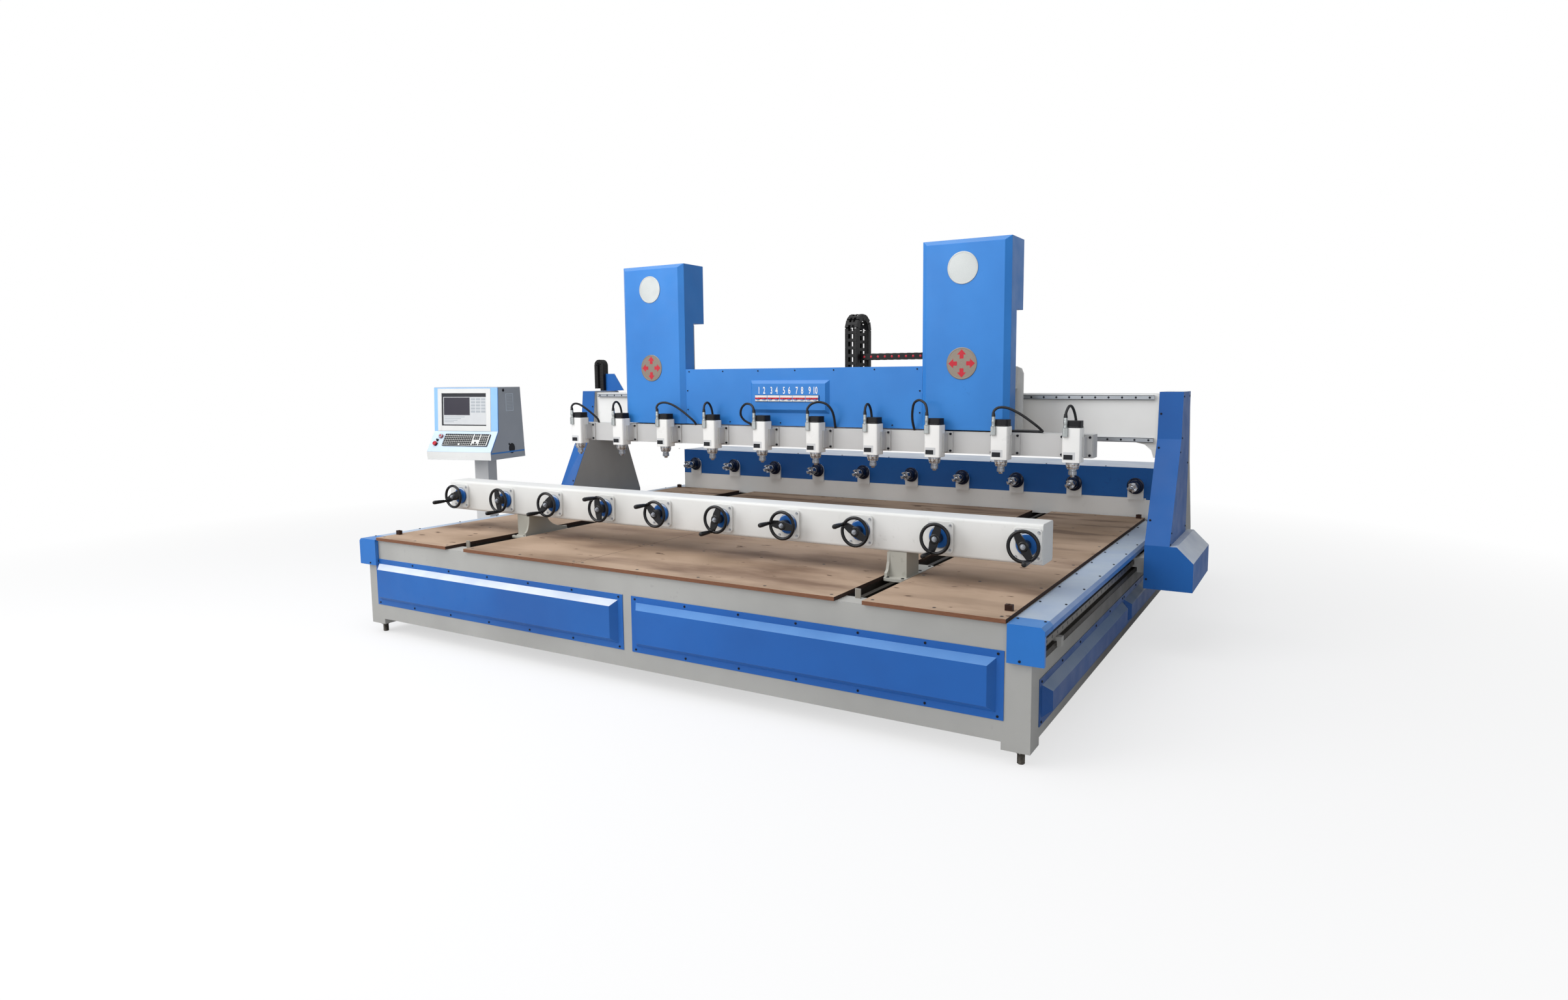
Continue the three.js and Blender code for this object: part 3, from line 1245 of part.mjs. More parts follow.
// Cable chain: an upright loop beside a level run, marked off in links
function cableChain() {
  const x0 = chainLoopX - chainWidth / 2;
  const x1 = chainLoopX + chainWidth / 2;
  const radius = chainLoopDepth / 2;
  const y = chainLoopFrontY + radius;
  const crown = chainLoopTopZ - radius;
  const arch = [];
  const steps = fineSteps / 2;
  for (let i = 0; i <= steps; i += 1) {
    const angle = (Math.PI * i) / steps;
    arch.push([y - radius * Math.cos(angle), crown + radius * Math.sin(angle)]);
  }
  for (let i = steps; i >= 0; i -= 1) {
    const angle = (Math.PI * i) / steps;
    const inner = radius - chainHeight;
    arch.push([y - inner * Math.cos(angle), crown + inner * Math.sin(angle)]);
  }
  const outline = [[chainLoopFrontY, chainFootZ], ...arch.slice(0, steps + 1), [chainLoopFrontY + chainLoopDepth, chainFootZ],
    [chainLoopFrontY + chainLoopDepth - chainHeight, chainFootZ], ...arch.slice(steps + 1),
    [chainLoopFrontY + chainHeight, chainFootZ]];
  const loop = prismAlongX(outline, x0, x1);
  const runY = chainLoopFrontY + chainHeight + chainRunBackGap;
  const run = block(x1 - sheet, chainRunRightX, runY, runY + chainWidth, chainRunZ, chainRunZ + chainHeight);
  const lead = block(x1 - chainHeight, x1 + sheet, chainLoopFrontY + sheet, runY + chainWidth, chainRunZ,
    chainRunZ + chainHeight);
  const drop = block(chainRunRightX - chainHeight, chainRunRightX, runY, runY + chainWidth, chainFootZ,
    chainRunZ + chainHeight);
  const grooves = [];
  for (let z = chainFootZ + chainLinkPitch; z < crown; z += chainLinkPitch) {
    grooves.push(block(x0 + chainGroove, x1 - chainGroove, chainLoopFrontY - overrun, chainLoopFrontY + chainGroove,
      z - chainGrooveWidth, z + chainGrooveWidth));
  }
  return cut(join([loop, run, lead, drop]), grooves);
}

// Console: measured from its front left corner, width to the right, depth to the back
function consoleCabinet() {
  const profile = [
    [0, consoleLipTopZ], [consoleLipSetback, consoleLipBottomZ], [consoleDepth, consoleLipBottomZ],
    [consoleDepth - consoleLipSetback, consoleKneeZ], [consoleTopBackDepth, consoleTopZ],
    [consoleTopFrontDepth, consoleTopZ], [consoleShelfDepth, consoleShelfTopZ],
  ];
  const body = prismAlongX(profile, 0, consoleWidth);
  const lean = (consoleTopFrontDepth - consoleShelfDepth) / (consoleTopZ - consoleShelfTopZ);
  const depthAt = (z) => consoleShelfDepth + (z - consoleShelfTopZ) * lean;
  const top = screenBottomZ + screenHeight;
  const recess = prismAlongX([
    [depthAt(screenBottomZ) - overrun, screenBottomZ], [depthAt(screenBottomZ) + screenRecess, screenBottomZ],
    [depthAt(top) + screenRecess, top], [depthAt(top) - overrun, top],
  ], screenLeft, screenLeft + screenWidth);
  const collar = slopePiece(turnedUp([
    [0, -overrun], [buttonCollarRadius, -overrun], [buttonCollarRadius, buttonCollarHeight],
    [0, buttonCollarHeight],
  ], 0, 0, smallSteps), buttonLeft, buttonAlongSlope);
  const bore = slopePiece(turnedUp([
    [0, -buttonStemDepth - buttonTravel], [boreFor(buttonStemRadius, smallSteps), -buttonStemDepth - buttonTravel],
    [boreFor(buttonStemRadius, smallSteps), buttonCollarHeight + overrun], [0, buttonCollarHeight + overrun],
  ], 0, 0, smallSteps), buttonLeft, buttonAlongSlope);
  const second = slopePiece(turnedUp([
    [0, -overrun], [buttonStemRadius, -overrun], [buttonStemRadius, buttonTravel], [buttonHeadRadius, buttonTravel],
    [buttonHeadRadius, buttonTravel + buttonHeadHeight], [0, buttonTravel + buttonHeadHeight],
  ], 0, 0, smallSteps), buttonSecondLeft, buttonSecondAlong);
  return join([cut(body, [recess]), collar, second]).subtract(bore);
}

// Moves a solid, built upright at the origin, onto the console's sloping shelf
function slopeMatrix(left, along) {
  const slope = Math.atan2(consoleShelfTopZ - consoleLipTopZ, consoleShelfDepth);
  const place = new THREE.Matrix4().makeTranslation(left, along * Math.cos(slope), consoleLipTopZ + along * Math.sin(slope));
  return place.multiply(new THREE.Matrix4().makeRotationX(slope));
}

function slopePiece(body, left, along) {
  const geometry = geometryOf(body);
  geometry.applyMatrix4(slopeMatrix(left, along));
  return solid(geometry);
}

function keyboard() {
  const plate = block(0, keyboardWidth, 0, keyboardDepth, clearance, keyboardThickness);
  return slopePiece(plate, keyboardLeft, keyboardStart);
}

function emergencyButton() {
  const head = buttonCollarHeight + buttonTravel;
  const body = turnedUp([
    [0, clearance - buttonStemDepth], [buttonStemRadius, clearance - buttonStemDepth], [buttonStemRadius, head],
    [buttonHeadRadius, head], [buttonHeadRadius, head + buttonHeadHeight - sheet],
    [buttonHeadRadius - sheet, head + buttonHeadHeight],
    [0, head + buttonHeadHeight],
  ], 0, 0, smallSteps);
  return slopePiece(body, buttonLeft, buttonAlongSlope);
}

function consoleStand() {
  const middle = consoleWidth / 2;
  const postMiddle = postSetback + postDepth / 2;
  return join([
    block(middle - postWidth / 2, middle + postWidth / 2, postSetback, postSetback + postDepth,
      consoleBaseThickness - sheet, consoleLipBottomZ - clearance),
    block(middle - consoleBaseWidth / 2, middle + consoleBaseWidth / 2, postMiddle - consoleBaseDepth / 2,
      postMiddle + consoleBaseDepth / 2, 0, consoleBaseThickness),
  ]);
}

// Assembly: each moving body is a group inside the body that carries it
const machine = new THREE.Group();
const bed = new THREE.Group();
const tailstock = new THREE.Group();
const gantry = new THREE.Group();
const carriageGroup = new THREE.Group();
const lift = new THREE.Group();
const consoleGroup = new THREE.Group();
machine.add(bed);
bed.add(tailstock, gantry, consoleGroup);
gantry.add(carriageGroup);
carriageGroup.add(lift);

addPiece(bed, "bed_frame", greyPaint, bedFrame());
addPiece(bed, "front_cover_left", bluePaint, frontCover(frontCoverLeftX, frontCoverGapX - frontCoverGap / 2));
addPiece(bed, "front_cover_right", bluePaint, frontCover(frontCoverGapX + frontCoverGap / 2, frontCoverRightX));
for (const [name, side] of sides) {
  const cover = addPiece(bed, `side_cover_${name}`, bluePaint, sideCover(side));
  cover.rotation.z = (side * Math.PI) / 2;
  cover.position.set(side * halfLength, side > 0 ? 0 : bedDepth, 0);
  addPiece(bed, `rail_cover_${name}`, bluePaint, railCover(side));
}
addPiece(bed, "board_left", boardFibre, outerBoard(-1));
addPiece(bed, "board_middle", boardFibre, cut(board(slotLeftX + slotLeftWidth / 2, slotRightX - slotRightWidth / 2), [
  block(boardSeamX - seamWidth / 2, boardSeamX + seamWidth / 2, boardFrontY - overrun, headstockFrontY,
    boardTopZ - seamDepth, boardTopZ + overrun),
]));
addPiece(bed, "board_right", boardFibre, outerBoard(1));
addPiece(bed, "headstock_base", whitePaint, headstockBase());
addPiece(bed, "headstock_cover", bluePaint, headstockCover());

const chuckBody = chuck();
for (const index of stations) {
  const piece = addPiece(bed, `chuck_${index + 1}`, navyEnamel, chuckBody);
  piece.position.set(stationX(rotaryRowCentreX, index), chuckFaceY, rotaryAxisZ);
}

addPiece(tailstock, "tailstock_beam", whitePaint, tailstockBeam());
for (const [name, x] of [["left", slotLeftX], ["right", slotRightX]]) {
  const foot = addPiece(tailstock, `tailstock_foot_${name}`, greyPaint, tailstockFoot());
  foot.position.set(x, 0, 0);
}
for (const index of stations) {
  const wheel = addPiece(tailstock, `handwheel_${index + 1}`, blackPlastic, handwheel(crankAnglesDegrees[index]));
  wheel.position.set(stationX(rotaryRowCentreX, index), wheelPlaneY, rotaryAxisZ);
}

for (const [name, side] of sides) {
  addPiece(gantry, `column_${name}`, darkGreyPaint, column(side));
  addPiece(gantry, `column_cover_${name}`, bluePaint, columnCover(side));
}
addPiece(gantry, "crossbeam", whitePaint, crossbeam());

addPiece(carriageGroup, "x_carriage", greyPaint, carriage());
addPiece(carriageGroup, "cable_chain", blackPlastic, cableChain());

for (const [name, side] of sides) {
  const piece = addPiece(lift, `tower_${name}`, bluePaint, tower());
  piece.position.set(carriageCentreX + side * towerOffsetX, 0, 0);
}
addPiece(lift, "front_panel", bluePaint, frontPanel());
addPiece(lift, "spindle_bar", whitePaint, spindleBar());
const noseBody = spindleNose();
for (const index of stations) {
  const nose = addPiece(lift, `spindle_nose_${index + 1}`, brightSteel, noseBody);
  nose.position.set(stationX(spindleRowCentreX, index), motorCentreY, 0);
}

addPiece(consoleGroup, "console_stand", greyPaint, consoleStand());
addPiece(consoleGroup, "console_cabinet", whitePaint, consoleCabinet());
addPiece(consoleGroup, "keyboard", blackPlastic, keyboard());
addPiece(consoleGroup, "emergency_button", redPlastic, emergencyButton());
consoleGroup.position.set(consoleX, consoleY, 0);
consoleGroup.rotation.z = THREE.MathUtils.degToRad(consoleTurnDegrees);

// The origin is the middle of everything's footprint, on the floor
machine.updateMatrixWorld(true);
const bounds = new THREE.Box3().setFromObject(machine);
machine.position.set(-(bounds.min.x + bounds.max.x) / 2, -(bounds.min.y + bounds.max.y) / 2, -bounds.min.z);
console.log("frame shift", machine.position.toArray());

export default machine;
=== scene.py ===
import math

import bmesh
import bpy
from mathutils import Matrix, Vector


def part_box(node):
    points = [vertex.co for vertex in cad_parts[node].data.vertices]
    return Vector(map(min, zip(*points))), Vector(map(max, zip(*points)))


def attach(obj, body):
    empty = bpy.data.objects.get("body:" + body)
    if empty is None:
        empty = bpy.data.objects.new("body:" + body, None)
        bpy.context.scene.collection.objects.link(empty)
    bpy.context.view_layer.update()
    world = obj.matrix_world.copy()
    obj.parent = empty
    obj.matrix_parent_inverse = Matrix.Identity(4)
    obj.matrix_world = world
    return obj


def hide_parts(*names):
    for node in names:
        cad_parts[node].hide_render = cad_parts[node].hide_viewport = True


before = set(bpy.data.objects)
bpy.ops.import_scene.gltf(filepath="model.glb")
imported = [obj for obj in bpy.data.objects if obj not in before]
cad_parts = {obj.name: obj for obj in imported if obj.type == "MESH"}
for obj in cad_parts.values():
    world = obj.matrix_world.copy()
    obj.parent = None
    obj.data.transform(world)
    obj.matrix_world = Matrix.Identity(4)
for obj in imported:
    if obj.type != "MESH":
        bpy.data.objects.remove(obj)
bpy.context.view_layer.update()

# Photographer's stand: a wide lens at eye height, a little outside the bed's right front corner.
# Lengths are millimetres in the machine's axes: X = 0 in the middle of the bed, Y = 0 at its
# front face, Z = 0 on the floor.
bed_low, bed_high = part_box("bed_frame")
bed_corner = Vector(((bed_low.x + bed_high.x) / 2, bed_low.y, 0))
METRE_PER_MM = 0.001
to_frame = Matrix.Translation(bed_corner) @ Matrix.Scale(METRE_PER_MM, 4)
picture_width, picture_height = 2408, 1536
lens_pixels = 1391.61
lens_axis_x, lens_axis_y = 1245.30, 731.90
camera_place = (2970.9, -3310.0, 1501.6)
camera_yaw, camera_pitch, camera_roll = 30.088, -6.112, 0.366

camera_data = bpy.data.cameras.new("camera")
camera_data.sensor_width = 36
camera_data.lens = lens_pixels / picture_width * camera_data.sensor_width
camera_data.shift_x = (picture_width / 2 - lens_axis_x) / picture_width
camera_data.shift_y = (lens_axis_y - picture_height / 2) / picture_width
camera_data.clip_end = 200
camera = bpy.data.objects.new("camera", camera_data)
bpy.context.scene.collection.objects.link(camera)
camera.matrix_world = (
    Matrix.Translation(to_frame @ Vector(camera_place))
    @ Matrix.Rotation(math.radians(camera_yaw), 4, "Z")
    @ Matrix.Rotation(math.radians(90 + camera_pitch), 4, "X")
    @ Matrix.Rotation(math.radians(-camera_roll), 4, "Z")
)
bpy.context.scene.camera = camera
bpy.context.scene.view_settings.view_transform = "Standard"

# Spindle leads: black PVC control cable, 15 mm thick, clamped in the plug on each motor's front.
# Each drops in a free arc behind its motor or onto the long bar. X counts from the motor's middle.
station_pitch = 400
motor_centres = [-1850 + station_pitch * place for place in range(10)]
lead_thickness = 15
points_per_stretch = 3
plug_exit = (-31.5, 1575, 1292)
lead_routes = {
    1: [(-34, 1577, 1316), (-20, 1590, 1336), (8, 1610, 1332), (46, 1636, 1302), (86, 1668, 1258),
        (112, 1690, 1222), (117, 1698, 1194)],
    3: [(-38, 1578, 1318), (-25, 1590, 1342), (15, 1608, 1350), (70, 1630, 1330), (130, 1650, 1290),
        (178, 1664, 1250), (206, 1682, 1218), (210, 1698, 1194)],
    5: [(-36, 1577, 1318), (-62, 1586, 1342), (-112, 1602, 1346), (-160, 1622, 1316),
        (-180, 1642, 1272), (-166, 1662, 1236), (-134, 1682, 1214), (-112, 1698, 1194)],
    6: [(-32, 1577, 1322), (-10, 1588, 1350), (30, 1604, 1362), (75, 1622, 1350), (102, 1640, 1316),
        (108, 1660, 1276), (104, 1682, 1232), (100, 1698, 1194)],
    8: [(-32, 1577, 1325), (-50, 1588, 1360), (-90, 1602, 1378), (-130, 1620, 1360),
        (-150, 1640, 1312), (-158, 1658, 1262), (-160, 1680, 1222), (-160, 1698, 1194)],
    9: [(-30, 1577, 1320), (-5, 1588, 1340), (45, 1602, 1336), (110, 1620, 1302), (164, 1638, 1262),
        (196, 1654, 1234), (212, 1676, 1214), (209, 1702, 1205), (188, 1720, 1203.4),
        (156, 1728, 1203.2), (120, 1730, 1203.2), (84, 1728, 1203.2), (50, 1724, 1203.2),
        (19.3, 1718, 1203.2)],
}
# The other four fall in one and the same arc behind the motor, and only drift sideways by turns.
plain_fall = [(1576, 1314), (1582, 1334), (1596, 1348), (1614, 1352), (1632, 1344),
              (1648, 1326), (1660, 1300), (1668, 1262), (1672, 1220), (1672, 1184)]
sideways_drifts = {2: (-32, -36), 4: (-32, -26), 7: (-31.5, -31), 10: (-30, 12)}


def every(start, end, count):
    """Evenly spaced values from start to end."""
    return [start + (end - start) * step / (count - 1) for step in range(count)]


for place, (start_x, end_x) in sideways_drifts.items():
    drift = every(start_x, end_x, len(plain_fall))
    lead_routes[place] = [(round(x, 1), y, z) for x, (y, z) in zip(drift, plain_fall)]


def node(tree, kind, feeds=None, **settings):
    """Adds a node with its settings and links; a node as a feed gives its first live output."""
    made = tree.nodes.new("ShaderNode" + kind)
    for name, value in settings.items():
        setattr(made, name, value)
    for socket, value in (feeds or {}).items():
        if isinstance(value, bpy.types.Node):
            value = next(output for output in value.outputs if output.enabled)
        if isinstance(value, bpy.types.NodeSocket):
            tree.links.new(value, made.inputs[socket])
        else:
            made.inputs[socket].default_value = value
    return made


def paint_from_hex(code):
    """An sRGB hex colour in the linear values that a shader takes."""
    channels = [int(code[place:place + 2], 16) / 255 for place in (1, 3, 5)]
    linear = [c / 12.92 if c <= 0.04045 else ((c + 0.055) / 1.055) ** 2.4 for c in channels]
    return (*linear, 1)


def new_finish(name, roughness, metallic=0.0, ior=1.5):
    """A material, its tree and its shader. A metal keeps the shader's own index."""
    finish = bpy.data.materials.new(name)
    finish.use_nodes = True
    shader = finish.node_tree.nodes["Principled BSDF"]
    shader.inputs["Roughness"].default_value = roughness
    shader.inputs["Metallic"].default_value = metallic
    if metallic < 0.5:
        shader.inputs["IOR"].default_value = ior
    return finish, finish.node_tree, shader


def noise_at(tree, patch_mm, detail=3.0, stretch=(1, 1, 1)):
    """Noise in patches of that size on the piece itself; a stretch below 1 draws them out."""
    where = node(tree, "TexCoord")
    scaled = node(tree, "Mapping", {"Vector": where.outputs["Object"], "Scale": stretch})
    return node(tree, "TexNoise",
                {"Vector": scaled, "Scale": 1 / (patch_mm * METRE_PER_MM), "Detail": detail})


# PVC cable sheath: matt black, with a faint mottle from handling and a soft, broken highlight.
# The skin's real grain is under 0.5 mm and is drawn at 1.1 mm, so that it shows.
cable_sheath, tree, shader = new_finish("pvc cable sheath, extruded black", 0.55, ior=1.4)
mottle_mm, skin_mm, skin_depth_mm = 16.7, 1.11, 0.3
mottle = node(tree, "ValToRGB", {"Fac": noise_at(tree, mottle_mm)})
mottle.color_ramp.elements[0].color = paint_from_hex("#0c0c0e")
mottle.color_ramp.elements[1].color = paint_from_hex("#26262a")
tree.links.new(mottle.outputs["Color"], shader.inputs["Base Color"])
relief = node(tree, "Bump",
              {"Height": noise_at(tree, skin_mm), "Strength": 0.15,
               "Distance": skin_depth_mm * METRE_PER_MM})
tree.links.new(relief.outputs["Normal"], shader.inputs["Normal"])


def smooth_route(corners, steps):
    """Points on a curve that passes smoothly through all the corners."""
    padded = [corners[0] * 2 - corners[1], *corners, corners[-1] * 2 - corners[-2]]
    route = []
    for a, b, c, d in zip(padded, padded[1:], padded[2:], padded[3:]):
        for step in range(steps):
            t = step / steps
            bend, twist = 2 * a - 5 * b + 4 * c - d, 3 * b - a - 3 * c + d
            route.append(0.5 * (2 * b + (c - a) * t + bend * t * t + twist * t ** 3))
    return [*route, corners[-1]]


for place, centre in enumerate(motor_centres, 1):
    corners = [Vector((centre + x, y, z)) for x, y, z in [plug_exit, *lead_routes[place]]]
    machine_points = smooth_route(corners, points_per_stretch)
    route = [to_frame @ point for point in machine_points]
    sheath = bpy.data.curves.new(f"spindle_lead_{place}", "CURVE")
    sheath.dimensions = "3D"
    sheath.bevel_depth = lead_thickness / 2 * METRE_PER_MM
    sheath.bevel_resolution = 3
    sheath.use_fill_caps = True
    line = sheath.splines.new("POLY")
    line.points.add(len(route) - 1)
    for point, position in zip(line.points, route):
        point.co = (*position, 1)
    sheath.materials.append(cable_sheath)
    lead = bpy.data.objects.new(f"spindle_lead_{place}", sheath)
    bpy.context.scene.collection.objects.link(lead)
    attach(lead, "lift")

# Studio: a pale floor that runs out of view under three soft lamps, overhead, front left and a weak
# one front right. The lens sees white behind the machine, but a grey room lights the machine.
floor_half, floor_drop = 40, 0.0005
floor_mesh = bmesh.new()
bmesh.ops.create_grid(floor_mesh, x_segments=1, y_segments=1, size=floor_half)
floor_data = bpy.data.meshes.new("floor")
floor_mesh.to_mesh(floor_data)
floor_mesh.free()
floor = bpy.data.objects.new("floor", floor_data)
floor.location.z = -floor_drop
bpy.context.scene.collection.objects.link(floor)
# The floor is matt and pale round the machine, and fades to pure white from 2 to 7 m away.
fade_start, fade_end, white_near, white_far = 2.0, 7.0, 0.6, 1.0
floor_paint, tree, shader = new_finish("studio floor, rolled pale paint", 0.9)
shader.inputs["Base Color"].default_value = paint_from_hex("#e9e9ea")
sight = node(tree, "LightPath")
glow = node(tree, "Emission", {"Color": (1, 1, 1, 1), "Strength": 1.0})
where = node(tree, "TexCoord")
reach = node(tree, "VectorMath", {0: where.outputs["Object"]}, operation="LENGTH")
fade = node(tree, "MapRange",
            {"Value": reach, "From Min": fade_start, "From Max": fade_end, "To Min": white_near,
             "To Max": white_far})
share = node(tree, "Math", {0: sight.outputs["Is Camera Ray"], 1: fade}, operation="MULTIPLY")
seen = node(tree, "MixShader", {"Fac": share, 1: shader, 2: glow})
tree.links.new(seen.outputs["Shader"], tree.nodes["Material Output"].inputs["Surface"])
floor_data.materials.append(floor_paint)

world = bpy.data.worlds.new("studio room")
bpy.context.scene.world = world
world.use_nodes = True
tree = world.node_tree
room = tree.nodes["Background"]
room.inputs["Color"].default_value = paint_from_hex("#dfe3e8")
room_strength, white_in_gloss = 0.4, 0.75
room.inputs["Strength"].default_value = room_strength
backdrop = node(tree, "Background", {"Color": (1, 1, 1, 1), "Strength": 1.0})
sight = node(tree, "LightPath")
seen_straight = node(tree, "Math",
                     {0: sight.outputs["Is Camera Ray"], 1: sight.outputs["Is Transmission Ray"]},
                     operation="MAXIMUM")
gloss_share = node(tree, "Math", {0: sight.outputs["Is Glossy Ray"], 1: white_in_gloss},
                   operation="MULTIPLY")
seen_share = node(tree, "Math", {0: seen_straight, 1: gloss_share}, operation="MAXIMUM")
mixed = node(tree, "MixShader", {"Fac": seen_share, 1: room, 2: backdrop})
tree.links.new(mixed.outputs["Shader"], tree.nodes["World Output"].inputs["Surface"])

for name, position, target, size, watts in [
    ("lamp_overhead", (-1000, -1200, 6500), (0, 1600, 600), 7.0, 350),
    ("lamp_front_left", (-4200, -5200, 4200), (0, 1700, 1100), 5.0, 335),
    ("lamp_front_right", (4200, -5600, 2600), (600, 2000, 1200), 4.0, 90),
]:
    lamp_data = bpy.data.lights.new(name, "AREA")
    lamp_data.size = size
    lamp_data.energy = watts
    lamp = bpy.data.objects.new(name, lamp_data)
    bpy.context.scene.collection.objects.link(lamp)
    lamp.location = to_frame @ Vector(position)
    aim = to_frame @ Vector(target) - lamp.location
    lamp.rotation_euler = aim.to_track_quat("-Z", "Y").to_euler()

# Bed frame: box tube, welded, shot blasted and sprayed light grey. Ground steel rails and racks are
# screwed along both sides, with a guide rail in each slot and a levelling screw at each corner.


def sprayed(name, roughness, base, shade, dust, dust_and_highlight_share, dust_and_highlight_full=1.0, ior=1.5):
    """Paint with slow blotches and fine specks, a pale tint where a face looks up that is partly
    dust and partly painted highlight, and orange peel.
    """
    blotch_mm, speck_mm, dust_patch_mm, sheen_mm = 588, 29.4, 200, 111
    # Real orange peel is about 1 mm across, and is drawn at 2.4 mm so that it breaks up the light.
    peel_mm, peel_depth_mm = 2.38, 0.25
    finish, tree, shader = new_finish(name, roughness, ior=ior)
    blotch = node(tree, "MapRange",
                  {"Value": noise_at(tree, blotch_mm, 4), "From Min": 0.35, "From Max": 0.7})
    speck = node(tree, "MapRange",
                 {"Value": noise_at(tree, speck_mm, 3), "From Min": 0.62, "From Max": 0.72,
                  "To Max": 0.6})
    patch = node(tree, "Math", {0: blotch, 1: speck}, operation="MAXIMUM")
    colour = node(tree, "Mix",
                  {"Factor": patch, "A": paint_from_hex(base), "B": paint_from_hex(shade)},
                  data_type="RGBA")
    # Faces that look up are mixed toward the pale tint: partly real dust, partly painted highlight.
    surface = node(tree, "NewGeometry")
    facing = node(tree, "SeparateXYZ", {"Vector": surface.outputs["Normal"]})
    upward = node(tree, "MapRange",
                  {"Value": facing.outputs["Z"], "From Min": 0.5, "From Max": dust_and_highlight_full,
                   "To Max": dust_and_highlight_share})
    patchy = node(tree, "MapRange",
                  {"Value": noise_at(tree, dust_patch_mm, 5), "From Min": 0.25, "From Max": 0.75,
                   "To Min": 0.7})
    dusty = node(tree, "Math", {0: upward, 1: patchy}, operation="MULTIPLY")
    with_dust_and_highlight = node(tree, "Mix", {"Factor": dusty, "A": colour, "B": paint_from_hex(dust)},
                     data_type="RGBA")
    tree.links.new(with_dust_and_highlight.outputs["Result"], shader.inputs["Base Color"])
    sheen = node(tree, "MapRange",
                 {"Value": noise_at(tree, sheen_mm, 4), "From Min": 0.3, "From Max": 0.7,
                  "To Min": roughness - 0.06, "To Max": roughness + 0.08})
    tree.links.new(sheen.outputs["Result"], shader.inputs["Roughness"])
    peel = node(tree, "Bump",
                {"Height": noise_at(tree, peel_mm, 1), "Strength": 0.35,
                 "Distance": peel_depth_mm * METRE_PER_MM})
    tree.links.new(peel.outputs["Normal"], shader.inputs["Normal"])
    return finish


def machined(name, roughness, light, dark, stretch=(1, 1, 1), mark_mm=8.33):
    """Bare metal: a streaky colour and fine tool marks, stretched along the way it was cut."""
    # Real tool marks lie some 0.1 mm apart, and are drawn as coarse as they need to be to show.
    polish_mm, mark_depth_mm = 62.5, 0.2
    finish, tree, shader = new_finish(name, roughness, metallic=1.0)
    streaks = noise_at(tree, mark_mm, 4, stretch)
    colour = node(tree, "Mix",
                  {"Factor": streaks, "A": paint_from_hex(light), "B": paint_from_hex(dark)},
                  data_type="RGBA")
    tree.links.new(colour.outputs["Result"], shader.inputs["Base Color"])
    polish = node(tree, "MapRange",
                  {"Value": noise_at(tree, polish_mm, 3), "To Min": roughness - 0.08,
                   "To Max": roughness + 0.12})
    tree.links.new(polish.outputs["Result"], shader.inputs["Roughness"])
    marks = node(tree, "Bump",
                 {"Height": streaks, "Strength": 0.2, "Distance": mark_depth_mm * METRE_PER_MM})
    tree.links.new(marks.outputs["Normal"], shader.inputs["Normal"])
    return finish


# The photo's plastics hold deep blacks under the white room, so their index is set low.
resin_ior = 1.34


def moulded(name, roughness, base, shade, grain_mm=1.43):
    """Plastic, or a film as even as that: nearly one colour, with the grain of its mould."""
    # A mould's grain is some 0.2 mm wide, and is drawn as coarse as it needs to be to show.
    tint_mm, grain_depth_mm = 71.4, 0.2
    finish, tree, shader = new_finish(name, roughness, ior=resin_ior)
    colour = node(tree, "Mix",
                  {"Factor": noise_at(tree, tint_mm, 4),
                   "A": paint_from_hex(base), "B": paint_from_hex(shade)}, data_type="RGBA")
    tree.links.new(colour.outputs["Result"], shader.inputs["Base Color"])
    grain = node(tree, "Bump",
                 {"Height": noise_at(tree, grain_mm, 2), "Strength": 0.25,
                  "Distance": grain_depth_mm * METRE_PER_MM})
    tree.links.new(grain.outputs["Normal"], shader.inputs["Normal"])
    return finish


def break_corners(dressed, width_mm):
    """Rounds off the sharp edges of a piece by that width, after its loose corners are joined."""
    weld = dressed.modifiers.new("weld", "WELD")
    weld.merge_threshold = 0.00002
    bevel = dressed.modifiers.new("broken corners", "BEVEL")
    bevel.width = width_mm * METRE_PER_MM
    bevel.segments = 2
    bevel.limit_method = "ANGLE"
    bevel.angle_limit = math.radians(25)


def finish_node(name, finish, corner=0):
    """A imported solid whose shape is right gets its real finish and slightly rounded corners."""
    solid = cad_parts[name]
    solid.data.materials.clear()
    solid.data.materials.append(finish)
    if corner:
        break_corners(solid, corner)


def block(form, low, high, place=Matrix()):
    """A box between two corners."""
    for corner in bmesh.ops.create_cube(form, size=1)["verts"]:
        spans = zip(low, high, corner.co)
        corner.co = place @ Vector([a + (b - a) * (c + 0.5) for a, b, c in spans])


def prism(form, outline, start, end, along="y", place=Matrix()):
    """An outline of (first, second) pairs of the other two axes, drawn out along one axis."""
    spot = {"x": lambda a, b, w: (w, a, b),
            "y": lambda a, b, w: (a, w, b),
            "z": lambda a, b, w: (a, b, w)}[along]
    rings = [[form.verts.new(place @ Vector(spot(a, b, w))) for a, b in outline]
             for w in (start, end)]
    for ring in rings:
        form.faces.new(ring)
    for k in range(len(outline)):
        form.faces.new((rings[0][k], rings[0][k - 1], rings[1][k - 1], rings[1][k]))


